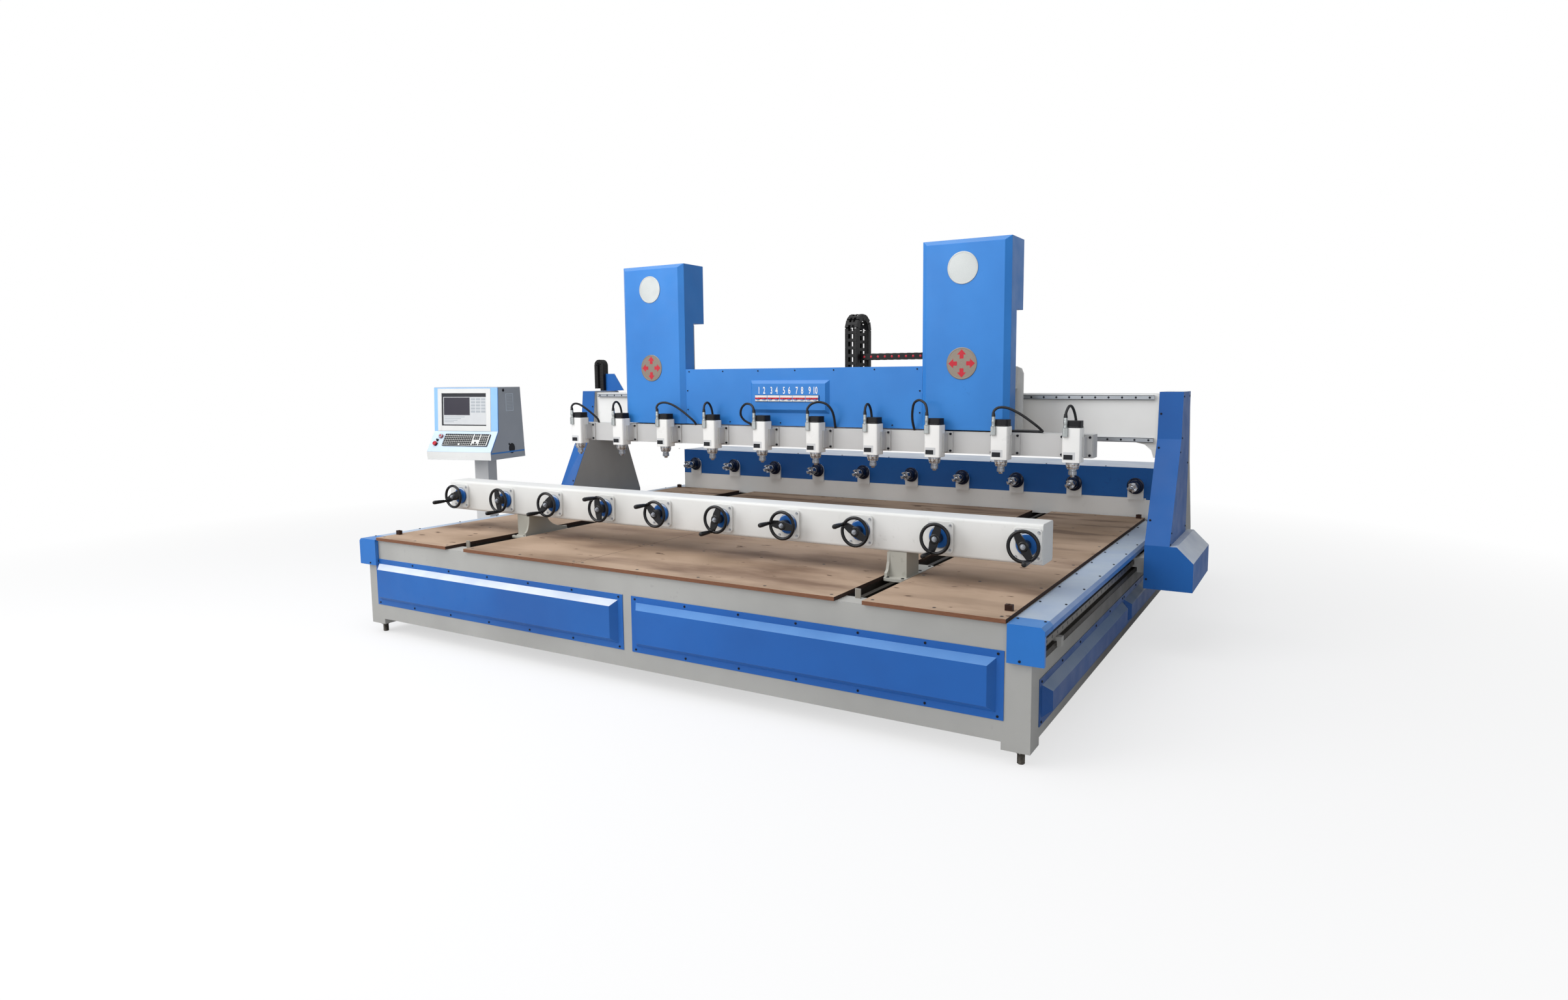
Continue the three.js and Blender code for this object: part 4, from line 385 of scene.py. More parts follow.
def turned(form, profile, centre=(0, 0, 0), along="y", steps=24, place=Matrix(), closed=False):
    """A lathe shape: (distance, radius) pairs along an axis through centre; closed makes a ring."""
    rings = []
    for distance, radius in profile:
        ring = []
        for step in range(steps if radius > 0 else 1):
            turn = math.tau * step / steps
            a, b = radius * math.cos(turn), radius * math.sin(turn)
            spot = {"x": (distance, a, b), "y": (a, distance, b), "z": (a, b, distance)}[along]
            ring.append(form.verts.new(place @ (Vector(centre) + Vector(spot))))
        rings.append(ring)
    for one, two in [*zip(rings, rings[1:]), *([(rings[-1], rings[0])] if closed else [])]:
        for k in range(steps):
            corners = [one[k % len(one)], one[(k + 1) % len(one)], two[(k + 1) % len(two)],
                       two[k % len(two)]]
            form.faces.new(list(dict.fromkeys(corners)))
    for ring in [] if closed else [rings[0], rings[-1]]:
        if len(ring) > 1:
            form.faces.new(ring)


def piece(name, form, finish, body, stands_for=(), corner=0, place=Matrix(), smooth=35):
    """Turns a form drawn in millimetres into a named part of the machine that rides on a body."""
    bmesh.ops.recalc_face_normals(form, faces=form.faces)
    mesh = bpy.data.meshes.new(name)
    form.to_mesh(mesh)
    form.free()
    mesh.transform(to_frame @ place)
    mesh.materials.append(finish)
    mesh.shade_smooth()
    mesh.set_sharp_from_angle(angle=math.radians(smooth))
    made = bpy.data.objects.new(name, mesh)
    bpy.context.scene.collection.objects.link(made)
    if corner:
        break_corners(made, corner)
    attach(made, body)
    if stands_for:
        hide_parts(*stands_for)
    return made


# Enamel on blasted tube stays slightly rough, so it looks soft, mottled and faintly stained. In the
# two slots it is painted near black as painted shade, so they read as dark lines.
slot_widths = {-1226: 149, 1237: 131}
slot_front_y, slot_back_y = 101, 3679
enamel_with_painted_shade = sprayed("machine enamel on welded tube, oily in the slots", 0.55,
                      "#9d9c98", "#8f8e8a", "#c4c3bf", 0.5)
tree = enamel_with_painted_shade.node_tree
shader = tree.nodes["Principled BSDF"]
spot = node(tree, "SeparateXYZ", {"Vector": node(tree, "TexCoord").outputs["Object"]})
clean = shader.inputs["Base Color"].links[0].from_socket
slot_start, slot_end = [(to_frame @ Vector((0, y, 0))).y for y in (slot_front_y, slot_back_y)]
past_front = node(tree, "Math", {0: spot.outputs["Y"], 1: slot_start}, operation="GREATER_THAN")
before_back = node(tree, "Math", {0: spot.outputs["Y"], 1: slot_end}, operation="LESS_THAN")
along = node(tree, "Math", {0: past_front, 1: before_back}, operation="MULTIPLY")
# Each slot's faces are mixed to near black here: painted shade.
for slot_x, width in slot_widths.items():
    centre = (to_frame @ Vector((slot_x, 0, 0))).x
    within = node(tree, "Math",
                  {0: spot.outputs["X"], 1: centre, 2: (width / 2 + 1) * METRE_PER_MM},
                  operation="COMPARE")
    slot_shade_mask = node(tree, "Math", {0: within, 1: along}, operation="MULTIPLY")
    clean = node(tree, "Mix", {"Factor": slot_shade_mask, "A": clean, "B": paint_from_hex("#1d1713")},
                 data_type="RGBA")
# The frame's outer sides are painted dark brown-grey, and more so toward the back: painted shade.
outer_face_x = 2.0
side_shade_start, side_shade_full = [(to_frame @ Vector((0, y, 0))).y for y in (150, 1300)]
middle_x = (to_frame @ Vector((0, 0, 0))).x
from_middle = node(tree, "Math", {0: spot.outputs["X"], 1: middle_x}, operation="SUBTRACT")
how_far = node(tree, "Math", {0: from_middle}, operation="ABSOLUTE")
outer_side = node(tree, "Math", {0: how_far, 1: outer_face_x}, operation="GREATER_THAN")
rearward = node(tree, "MapRange",
                {"Value": spot.outputs["Y"], "From Min": side_shade_start, "From Max": side_shade_full,
                 "To Max": 0.85})
side_shade_mask = node(tree, "Math", {0: outer_side, 1: rearward}, operation="MULTIPLY")
clean = node(tree, "Mix", {"Factor": side_shade_mask, "A": clean, "B": paint_from_hex("#3a3632")},
             data_type="RGBA")
tree.links.new(clean.outputs["Result"], shader.inputs["Base Color"])
finish_node("bed_frame", enamel_with_painted_shade, 2)

# Finer surfaces stand this far proud of the solids that they cover, so that the two never mix.
slip = 0.12
# Black oxide is a thin dip on steel: near black, with a dull metal glint on the screw heads.
black_steel = machined("black oxide steel", 0.45, "#33343a", "#1b1c20")
# Old grease browns the steel, and the rails, teeth and slot rails are painted darker still as
# painted shade under the lids and in the slots, with a dull streak of light. Grinding leaves
# streaks along the rails, drawn 3.3 mm wide and fifty times as long.
ground_along = ((1, 0.02, 1), 3.33)
greased_steel_in_painted_shade = machined("ground steel under old grease and painted shade", 0.5, "#4a4640", "#26221e", *ground_along)
oiled_rail_steel_in_painted_shade = machined("ground bearing steel under brown oil and painted shade", 0.4,
                            "#8a867f", "#55514b", *ground_along)
rail_inner_x, rail_outer_x, rack_outer_x = 2029, 2050, 2047
rail_front_y, rail_back_y, rail_screw_z = 40, 3780, 494
tooth_pitch, tooth_count, first_tooth_y = 9.42, 396, 46
tooth_shape = [(0, 432), (1.7, 427.4), (4.4, 427.4), (6.1, 432)]
rails, racks, holes = bmesh.new(), bmesh.new(), bmesh.new()
for side in (-1, 1):
    block(rails, (side * rail_inner_x, rail_front_y - slip, 481.5 - slip),
          (side * (rail_outer_x + slip), rail_back_y + slip, 506.5 + slip))
    block(racks, (side * rail_inner_x, rail_front_y - slip, 432 - slip),
          (side * (rack_outer_x + slip), rail_back_y + slip, 454 + slip))
    for tooth in range(tooth_count):
        y = first_tooth_y + tooth * tooth_pitch
        prism(racks, [(y + across, z) for across, z in tooth_shape], side * 2030,
              side * rack_outer_x, "x")
    rim, recess = side * (rail_outer_x + 2 * slip), side * (rail_outer_x + 0.14)
    hole = [(side * 2049, 7.5), (rim, 7.5), (rim, 4), (recess, 4), (recess, 0)]
    for y in every(80, 3740, 48):
        turned(holes, hole, (0, y, rail_screw_z), "x", 10)
slot_rails = bmesh.new()
for slot_x in slot_widths:
    block(slot_rails, (slot_x - 12 - slip, slot_front_y, 547.5),
          (slot_x + 12 + slip, slot_back_y, 568.7 + slip))
piece("slot_rails", slot_rails, greased_steel_in_painted_shade, "bed")
piece("bed_rails", rails, oiled_rail_steel_in_painted_shade, "bed")
piece("bed_racks", racks, greased_steel_in_painted_shade, "bed")
piece("bed_rail_screws", holes, black_steel, "bed")
tabs = bmesh.new()
for slot_x in slot_widths:
    block(tabs, (slot_x - 13 - slip, 76 - slip, 569), (slot_x + 13 + slip, 82 + slip, 611 + slip))
# The stop tabs are flat bar whose paint is rubbed brown where the feet have met them.
rubbed_bar = sprayed("flat steel bar, painted and rubbed", 0.5,
                     "#8d877d", "#6f6960", "#a8a298", 0.5)
piece("slot_stop_tabs", tabs, rubbed_bar, "bed", corner=1.5)
feet = bmesh.new()
thread_turns = [(z, 14 if k % 2 else 15.8) for k, z in enumerate(every(4, 45, 21))]
stem = [(0.2, 0), (0.2, 13.4), (3, 15.8), *thread_turns, (45, 0)]
lock_nut = [(44.5, 20), (46, 24), (59.5, 24), (60.9, 21)]
for x in (-1967, 1967):
    for y in (50, 3770):
        turned(feet, stem, (x, y, 0), "z", 20)
        turned(feet, lock_nut, (x, y, 0), "z", 6)
# Zinc near the floor goes dull and stained, so the screws are brown-grey, with only a weak shine.
stained_zinc = machined("zinc plated steel, dull and stained", 0.5, "#77736c", "#3f3c38")
piece("levelling_screws", feet, stained_zinc, "bed")

# Boards: 18 mm medium density fibre board laid on the bed and screwed down, dusty and nearly bare,
# with sawn edges that have taken up oil and gone red-brown, and a dark stop block at each corner.
# Bare fibre board scatters light, so it is matt: dusty tan, scuffed and streaked along its length.
board_fibre, tree, shader = new_finish("fibre board, sawn and dusty", 0.82, ior=1.4)
stain_mm, scuff_mm, fleck_mm, streak_mm, saw_mm = 714, 312.5, 58.8, 143, 25
# The nap of the fibres is under 1 mm and is drawn at 1.4 mm, so that it shows.
nap_mm, nap_depth_mm = 1.43, 0.4
surface = node(tree, "NewGeometry")
facing = node(tree, "SeparateXYZ", {"Vector": surface.outputs["Normal"]})
stain = node(tree, "MapRange",
             {"Value": noise_at(tree, stain_mm, 6, (1, 1.8, 1)), "From Min": 0.4, "From Max": 0.64})
top = node(tree, "Mix",
           {"Factor": stain, "A": paint_from_hex("#ae9681"), "B": paint_from_hex("#937c67")},
           data_type="RGBA")
scuff = node(tree, "MapRange",
             {"Value": noise_at(tree, scuff_mm, 7, (0.35, 1, 1)), "From Min": 0.52,
              "From Max": 0.68, "To Max": 0.85})
scuffed = node(tree, "Mix", {"Factor": scuff, "A": top, "B": paint_from_hex("#6d5545")},
               data_type="RGBA")
fleck = node(tree, "MapRange",
             {"Value": noise_at(tree, fleck_mm, 3, (0.5, 1, 1)), "From Min": 0.665,
              "From Max": 0.72})
streak = node(tree, "MapRange",
              {"Value": noise_at(tree, streak_mm, 5, (0.22, 1.3, 1)), "From Min": 0.57,
               "From Max": 0.66, "To Max": 0.8})
rear_start, rear_full = [(to_frame @ Vector((0, y, 0))).y for y in (1200, 2300)]
depth = node(tree, "SeparateXYZ", {"Vector": node(tree, "TexCoord").outputs["Object"]})
worn = node(tree, "MapRange",
            {"Value": depth.outputs["Y"], "From Min": rear_start, "From Max": rear_full,
             "To Min": 0.2})
rear_streak = node(tree, "Math", {0: streak, 1: worn}, operation="MULTIPLY")
streaked = node(tree, "Mix", {"Factor": rear_streak, "A": scuffed, "B": paint_from_hex("#5c493c")},
                data_type="RGBA")
specked = node(tree, "Mix", {"Factor": fleck, "A": streaked, "B": paint_from_hex("#5b4536")},
               data_type="RGBA")
sawn = node(tree, "Mix",
            {"Factor": noise_at(tree, saw_mm, 5, (1, 1, 6)), "A": paint_from_hex("#7d5138"),
             "B": paint_from_hex("#573a29")}, data_type="RGBA")
# Edges that face sideways stand in the slots and are painted near black: painted shade.
sideways = node(tree, "Math", {0: facing.outputs["X"]}, operation="ABSOLUTE")
slot_edge_shade_mask = node(tree, "MapRange", {"Value": sideways, "From Min": 0.5, "From Max": 0.8})
edge = node(tree, "Mix", {"Factor": slot_edge_shade_mask, "A": sawn, "B": paint_from_hex("#2e1c14")},
            data_type="RGBA")
is_top = node(tree, "MapRange", {"Value": facing.outputs["Z"], "From Min": 0.5, "From Max": 0.8})
fibre = node(tree, "Mix", {"Factor": is_top, "A": edge, "B": specked}, data_type="RGBA")
tree.links.new(fibre.outputs["Result"], shader.inputs["Base Color"])
nap = node(tree, "Bump",
           {"Height": noise_at(tree, nap_mm, 2), "Strength": 0.4,
            "Distance": nap_depth_mm * METRE_PER_MM})
tree.links.new(nap.outputs["Normal"], shader.inputs["Normal"])
for name in ["board_left", "board_middle", "board_right"]:
    finish_node(name, board_fibre, 1)
board_top, stop_top = 587, 612
stops, plugs = bmesh.new(), bmesh.new()
for side in (-1, 1):
    for y in (108, 2810):
        block(stops, (side * (1872 - slip), y - slip, board_top),
              (side * (1904 + slip), y + 20 + slip, stop_top + slip))
        stop_screw = [(stop_top, 6), (stop_top + 2, 6), (stop_top + 2, 3), (stop_top + 1, 0)]
        turned(stops, stop_screw, (side * 1888, y + 10, 0), "z", 10)
sunk_screw = [(586.9, 8), (587.2, 8), (587.2, 4), (587.05, 3), (587.05, 0)]
for x in (-1890, -1610, -1330, -1120, -750, -360, -300, 60, 430, 800, 1140, 1335, 1610, 1890):
    for y in (20, 560, 1120, 1680, 2240, 2830):
        turned(plugs, sunk_screw, (x, y, 0), "z", 10)
# The blocks are steel bar, browned by handling, so they read as small dark lumps on the boards.
browned_bar = machined("browned steel bar", 0.5, "#4d3a33", "#2c211e")
piece("board_stop_blocks", stops, browned_bar, "bed", corner=0.8)
piece("board_screws", plugs, black_steel, "bed")
seam = bmesh.new()
for start, end in ((-16, 180), (196, 560), (640, 1490), (1530, 2200), (2260, 2880)):
    block(seam, (-331.2, start, board_top - 5), (-328.8, end, board_top + 0.1))
# What has packed into the joint of two boards is matt and soaks up the light as a broken dark line.
packed_dust = moulded("sawdust and oil in the board's joint", 0.9, "#4a382c", "#2d2119")
piece("board_seam", seam, packed_dust, "bed")

# Bed covers: 3 mm cold-rolled sheet, laser cut, folded and powder coated blue, screwed on through
# their flanges: raised panels in front and at the sides, and a lid with end caps over each rail.


def screws(name, spots, along, side, body, radius=5.5):
    """Black button-head screws, seated at spots and facing one way along an axis."""
    form = bmesh.new()
    dome, socket_rim, socket = radius * 0.75, radius * 0.45, radius * 0.42
    heads = [(-0.5, radius), (2, radius), (3.4, dome), (3.4, socket_rim), (1.2, socket), (1.2, 0)]
    for spot in spots:
        turned(form, [(side * distance, size) for distance, size in heads], spot, along, 10)
    return piece(name, form, black_steel, body)


# Powder coat is a thick film, slightly wavy: an even colour with orange peel and a broad highlight.
# Its index is set low, because the photo's blues stay deep where the room shines on them. Slopes
# on the bed's covers and on the columns are paled partly by dust and partly by painted highlight.
# This deeper blue is the towers' blue darkened as painted shade, for the lower covers, the
# headstock, the columns and the caps.
film_ior = 1.36
blue_coat_in_painted_shade = sprayed("powder coated steel sheet, blue in painted shade", 0.46,
                         "#165aa2", "#134f94", "#e2e8ec", 0.85, 0.72, film_ior)
# One front panel stands further in shade, so its slope is painted only a little paler than its
# face: painted shade.
front_panel_coat_in_painted_shade = sprayed("powder coated steel sheet, blue in painted shade, wiped", 0.46,
                          "#1458a3", "#124f95", "#5f92cb", 0.75, 0.72, film_ior)
# The tops of the lids over the rails are pale and chalky, partly with dust and partly as painted
# highlight.
blue_lid = sprayed("powder coated steel sheet, blue under pale dust", 0.38,
                   "#3173c0", "#2a66ad", "#b4c0ca", 0.92)
finish_node("front_cover_left", blue_coat_in_painted_shade, 1.2)
# The side panels stand in shade under the rail lids, so they are painted darker and their pale top
# tint greyer: painted shade.
side_panel_coat_in_painted_shade = sprayed("powder coated steel sheet, blue in darker painted shade", 0.4,
                          "#104786", "#0d3c76", "#8799aa", 0.7, 0.72, film_ior)
for name in ["side_cover_left", "side_cover_right"]:
    finish_node(name, side_panel_coat_in_painted_shade, 1.2)
finish_node("front_cover_right", front_panel_coat_in_painted_shade, 1.2)
for name in ["rail_cover_left", "rail_cover_right"]:
    finish_node(name, blue_lid, 1.2)
front_flange_y, side_flange_x, lid_top = -3.3, 2020.3, 572.3
front_columns = [*every(-1925, -45, 7), *every(60, 1886, 7)]
front_spots = [(x, front_flange_y, z) for x in front_columns for z in (193, 444)]
screws("front_cover_screws", front_spots, "y", -1, "bed")
sleeves = bmesh.new()
lid_edge = [(1923.7, 572.7), (2056.2, 572.7), (2070.5, 558.5)]
lid_under = [(2070.5, 538), (2070, 538), (2070, 558), (2056, 572.2), (1924, 572.2), (1924, 560)]
cap_y, cap_inner_y, cap_back_y = -21.7, -21.2, 92
for side in (-1, 1):
    cap_face = [(1923.7, 419.2), *lid_edge, (2070.5, 419.2)]
    prism(sleeves, [(side * x, z) for x, z in cap_face], cap_y, cap_inner_y)
    cap_lid = [(1923.7, 560), *lid_edge, *lid_under]
    prism(sleeves, [(side * x, z) for x, z in cap_lid], cap_y + 0.3, cap_back_y)
# Hands and knees keep the end caps clean, so they stay plain blue on top as well.
handled_blue_coat = sprayed("powder coated steel sheet, blue, rubbed clean", 0.44,
                            "#206ab6", "#1c61a8", "#5f92cb", 0.6, 0.72, film_ior)
piece("rail_cap_sleeves", sleeves, handled_blue_coat, "bed")
screws("rail_cap_screws", [(side * 1975, cap_y, 431) for side in (-1, 1)], "y", -1, "bed")
for side, word in ((-1, "left"), (1, "right")):
    side_rows = [*every(130, 1674, 6), *every(1716, 3686, 7)]
    side_spots = [(side * side_flange_x, y, z) for y in side_rows for z in (151, 316)]
    screws(f"side_cover_screws_{word}", side_spots, "x", side, "bed")
    lid_spots = [(side * x, y, lid_top) for x in (1938, 2046) for y in every(70, 3750, 13)]
    screws(f"rail_cover_screws_{word}", lid_spots, "z", 1, "bed")

# Headstock: a welded beam in off-white enamel under a folded blue cover, with ten rotary chucks on
# light plates. Each is a glossy navy hub with a four-lobed driving claw of bright turned steel.
# Enamel sprayed on the welded beams is half matt: an even off-white with a soft, wide highlight.
# This copy is whiter than the beam's enamel: the extra white is painted light on the headstock base
# and the crossbeam.
white_spray_with_painted_light = sprayed("machine enamel, off-white with painted light", 0.5,
                       "#e6e6e4", "#dadad8", "#e6e6e4", 0.3)
# Enamel baked on a turned hub is smooth: dark, wet-looking and full of reflections.
navy_gloss = moulded("stove enamel on cast steel, navy", 0.12, "#14213f", "#0b1428", 11.1)
# Turned steel is bright, with fine rings round its axis that pull the highlights into bands.
claw_steel = machined("turned tool steel, bright", 0.2, "#d3d5d9", "#85888f", (1, 8, 1), 5)
# Zinc plate is a pale, slightly cloudy grey metal with a broad shine.
zinc_steel = machined("zinc plated steel", 0.38, "#b9bcc2", "#83878e")
finish_node("headstock_base", white_spray_with_painted_light, 1.5)
finish_node("headstock_cover", blue_coat_in_painted_shade, 1.2)
rotary_x = [-1747 + station_pitch * place for place in range(10)]
rotary_z = 793
tails = {"headstock_cover_tail": (702.6, 912, blue_coat_in_painted_shade, "blue_paint"),
         "headstock_base_tail": (573, 702.2, white_spray_with_painted_light, "white_paint")}
for name, (low, high, coat, slot) in tails.items():
    tail = bmesh.new()
    block(tail, (1917, 2885, low), (1962, 3335, high))
    piece(name, tail, coat, "bed", corner=1.5)
screws("headstock_screws", [(x - station_pitch / 2, 2905, 912) for x in rotary_x], "z", 1, "bed")
hub_steps = [(2872.6, 0), (2872.6, 52), (2870, 54), (2864, 54), (2860, 51), (2859, 44), (2855, 38),
             (2848, 36), (2824, 36), (2817, 33), (2815, 27), (2815, 0)]
claw_steps = [(2816, 24), (2812, 24), (2811, 20), (2796, 20), (2794, 28), (2780, 29), (2778, 13),
              (2745, 12), (2741, 7.5), (2719.5, 7), (2698, 0.6)]
# One lobe stands in each quarter turn: a blunt tip, as (radius, degrees), on a square root.
lobe_tip = [(30, 20), (31, 33), (31, 57), (30, 70)]
lobe = [(8.5, 7.8),
        *[(r * math.cos(math.radians(a)), r * math.sin(math.radians(a))) for r, a in lobe_tip],
        (7.8, 8.5)]
lobe_turn, screw_circle = 20, 44
for place, x in enumerate(rotary_x, 1):
    body = f"chuck_body_{place}"
    centre = (x, 0, rotary_z)
    hub, claw, sunk = bmesh.new(), bmesh.new(), bmesh.new()
    turned(hub, hub_steps, centre, "y", 36)
    piece(f"chuck_hub_{place}", hub, navy_gloss, body, [f"chuck_{place}"])
    turned(claw, claw_steps, centre, "y", 28)
    for quarter in range(4):
        spin = Matrix.Rotation(math.radians(90 * quarter + lobe_turn), 4, "Y")
        prism(claw, lobe, 2742, 2781, "y", Matrix.Translation(centre) @ spin)
    piece(f"chuck_claw_{place}", claw, claw_steel, body, corner=1.5)
    for angle in [math.radians(a) for a in range(45, 405, 90)]:
        spot = (x + screw_circle * math.cos(angle), 0, rotary_z + screw_circle * math.sin(angle))
        turned(sunk, [(2864.5, 5), (2861, 5), (2861, 2.6), (2862.5, 0)], spot, "y", 8)
    piece(f"chuck_screws_{place}", sunk, zinc_steel, body)

# Tailstock: a rectangular box beam in off-white enamel with ten bored plates, on two cast grey feet
# that slide along the slots. A blue bearing cap closes each plate in front of the beam.


def rounded(a0, b0, a1, b1, radius, steps=4):
    """The outline of a rectangle with rounded corners."""
    outline = []
    low_a, low_b, high_a, high_b = a0 + radius, b0 + radius, a1 - radius, b1 - radius
    quarters = [(high_a, high_b), (low_a, high_b), (low_a, low_b), (high_a, low_b)]
    for quarter, (a, b) in enumerate(quarters):
        for step in range(steps + 1):
            angle = math.radians(90 * (quarter + step / steps))
            outline.append((a + radius * math.cos(angle), b + radius * math.sin(angle)))
    return outline


# This enamel has dusted a little, and the beam is greyer than the headstock, whose whiter copy is
# painted light.
white_spray = sprayed("machine enamel, off-white", 0.5, "#d6d6d4", "#c6c6c3", "#dddddb", 0.5)
# Cast iron under thick grey paint: duller and warmer than the bed, with a pebbled skin.
cast_grey = sprayed("enamel on cast iron, warm grey", 0.6, "#a9a79e", "#969489", "#bdbbb3", 0.4)
beam = bmesh.new()
prism(beam, rounded(474, 703, 629, 883, 14), -1855, 1918, "x")
piece("tailstock_bar", beam, white_spray, "tailstock", ["tailstock_beam"], corner=2)
plates, caps, seams = bmesh.new(), bmesh.new(), bmesh.new()
rear_boss = [(628, 44), (632, 38), (648, 38), (649, 36), (649, 0)]
plate_screw = [(462.5, 6), (458, 6), (458, 3), (460, 0)]
cap_steps = [(463, 48), (455, 48), (452, 45), (450.5, 34), (450.5, 22), (452, 21), (452, 0)]
for x in rotary_x:
    centre = (x, 0, rotary_z)
    prism(plates, rounded(x - 64, rotary_z - 72, x + 64, rotary_z + 72, 20), 462, 475)
    turned(plates, rear_boss, centre, "y", 28)
    turned(caps, cap_steps, centre, "y", 32)
    turned(seams, [(463, 53), (460.5, 52), (460.5, 46)], centre, "y", 32)
    for a in (-50, 50):
        for b in (-56, 56):
            turned(seams, plate_screw, (x + a, 0, rotary_z + b), "y", 8)
piece("tailstock_plates", plates, white_spray, "tailstock", corner=1.5)
piece("bearing_caps", caps, blue_coat_in_painted_shade, "tailstock")
piece("bearing_cap_rings", seams, zinc_steel, "tailstock")
finish_node("tailstock_foot_right", cast_grey, 2.5)
# The left foot's rib is on its right side, with a hollow curve in front of and behind its post.
foot, foot_x = bmesh.new(), -1226
curve_deep, curve_tall, curve_top, rib_front, rib_back = 164.5, 96.7, 699.7, 450, 786
rise = [(math.sin(math.radians(a)), math.cos(math.radians(a))) for a in every(0, 90, 9)]
behind = [(rib_back - curve_deep * s, curve_top - curve_tall * c) for s, c in rise]
before = [(rib_front + 31.5 * s, curve_top - curve_tall * c) for s, c in reversed(rise)]
prism(foot, rounded(foot_x - 56, 436, foot_x + 56, 800, 14), 569, 583, "z")
block(foot, (foot_x - 46, 481.5, 580), (foot_x + 46, 621.5, 702.7))
prism(foot, [(rib_front, 580), (rib_back, 580), *behind, *before], foot_x + 39, foot_x + 53, "x")
piece("tailstock_foot_mirrored", foot, cast_grey, "tailstock",
      ["tailstock_foot_left"], corner=2)
foot_bolts = [(slot_x + a, y, 583) for slot_x in slot_widths for a in (-38, 38)
              for y in (455, 660, 775)]
screws("tailstock_foot_bolts", foot_bolts, "z", 1, "tailstock", 8)

# Handwheels: black moulded phenolic wheels with a flat two-armed spoke, a turning crank grip and a
# zinc plated nut, each on the screw that drives a hardened live centre out of the beam's back.
# Phenolic moulding is hard, and hands polish it: deep black with small sharp highlights.
phenolic = moulded("phenolic moulding, black", 0.25, "#17171a", "#0d0d0f", 3.33)
crank_angles = [207, 280, 226, 98, 133, 251, 172, 149, 255, 300]
wheel_y, rim_radius, rim_half = 405, 66, 8
rim_section = [(rim_half * math.cos(a), rim_radius + rim_half * math.sin(a))
               for a in [math.tau * step / 12 for step in range(12)]]
spoke_edge = [(-64, -13), (-26, -20), (26, -20), (64, -13)]
spokes = [*spoke_edge, *[(x, -z) for x, z in reversed(spoke_edge)]]
wheel_hub = [(-8, 0), (-8, 19), (-6, 23), (4, 24), (38, 24), (44, 20), (44, 0)]
crank_grip = [(3, 0), (3, 9), (-9, 9), (-10, 7), (-20, 7), (-23, 9), (-58, 11), (-92, 11.8),
              (-100, 10), (-104, 5), (-104, 0)]
live_cone = [(244.6, 19), (251, 19), (252, 26), (278, 26), (280.3, 23), (340, 0.5)]
for place, (x, angle) in enumerate(zip(rotary_x, crank_angles), 1):
    body = f"handwheel_body_{place}"
    crank_turn = Matrix.Rotation(-math.radians(angle), 4, "Y")
    axle = Matrix.Translation((x, wheel_y, rotary_z)) @ crank_turn
    wheel, metal = bmesh.new(), bmesh.new()
    turned(wheel, rim_section, steps=48, place=axle, closed=True)
    prism(wheel, spokes, -5, 5, place=axle)
    turned(wheel, wheel_hub, steps=28, place=axle)
    turned(wheel, crank_grip, (rim_radius, 0, 0), steps=20, place=axle)
    piece(f"wheel_{place}", wheel, phenolic, body, [f"handwheel_{place}"],
          corner=0.8)
    for profile, sides in [
        ([(-7.5, 12), (-9, 12), (-9, 0)], 20),
        ([(-9, 9), (-10, 10), (-16, 10), (-17, 9)], 6),
        ([(-17, 5), (-21, 5), (-22, 4), (-22, 0)], 12),
        ([(44, 15), (46.5, 15)], 24),
        (live_cone, 28),
    ]:
        turned(metal, profile, steps=sides, place=axle)
    piece(f"live_centre_{place}", metal, zinc_steel, body)

# Columns: plate boxes in dark grey primer that ride on the bed's rails, each under a folded blue
# cover with a motor hood low on its outer side. The crossbeam joins them and carries two rails.
# Primer is matt and a little uneven, the dark inner side that the covers leave bare.
primer_grey = sprayed("primer on steel plate, dark grey", 0.62,
                      "#a4a4a2", "#939391", "#adadaa", 0.3)
cover_outer_x, cover_front_x = 2239, 2126
cover_side_screws = [(2085, 1395), (2300, 1395), (2300, 1010), (2065, 1165), (2300, 640),
                     (1772, 612), (2010, 1090), (1800, 670)]
cover_front_screws = [(2049, 1299), (2008.5, 1112), (1810, 732), (1745, 420)]
for side, word in ((-1, "left"), (1, "right")):
    finish_node(f"column_{word}", primer_grey, 2)
    finish_node(f"column_cover_{word}", blue_coat_in_painted_shade, 1.2)
    side_spots = [(side * cover_outer_x, y, z) for y, z in cover_side_screws]
    screws(f"column_side_screws_{word}", side_spots, "x", side, "gantry")
    front_spots = [(side * cover_front_x, y, z) for y, z in cover_front_screws]
    screws(f"column_front_screws_{word}", front_spots, "y", -1, "gantry", 6)
finish_node("crossbeam", white_spray_with_painted_light, 1.5)
# Ground rail steel is bright, with long fine streaks along its length.
rail_steel = machined("ground bearing steel, oiled", 0.3, "#c9cdd2", "#8f959c", *ground_along)
rail_face_y, rail_end_x, rail_half = 2064, 2085, 12.5
screw_face_y = rail_face_y - 2 * slip
beam_rails, beam_holes, rail_groove_shade = bmesh.new(), bmesh.new(), bmesh.new()
for z in (1388, 1148):
    block(beam_rails, (-rail_end_x - slip, rail_face_y - slip, z - rail_half - slip),
          (rail_end_x + slip, 2085, z + rail_half + slip))
    # Black strips along each rail's edges are painted shade in its grooves.
    for edge in (-1, 1):
        block(rail_groove_shade, (-rail_end_x, screw_face_y + 0.02, z + edge * 10),
              (rail_end_x, 2066, z + edge * (rail_half + 1.5 * slip)))
    for x in every(-2060, 2060, 56):
        turned(beam_holes, [(2065, 6.5), (screw_face_y, 6.5), (screw_face_y, 3.5), (2063.85, 0)],
               (x, 0, z), "y", 10)
piece("crossbeam_rails", beam_rails, rail_steel, "gantry")
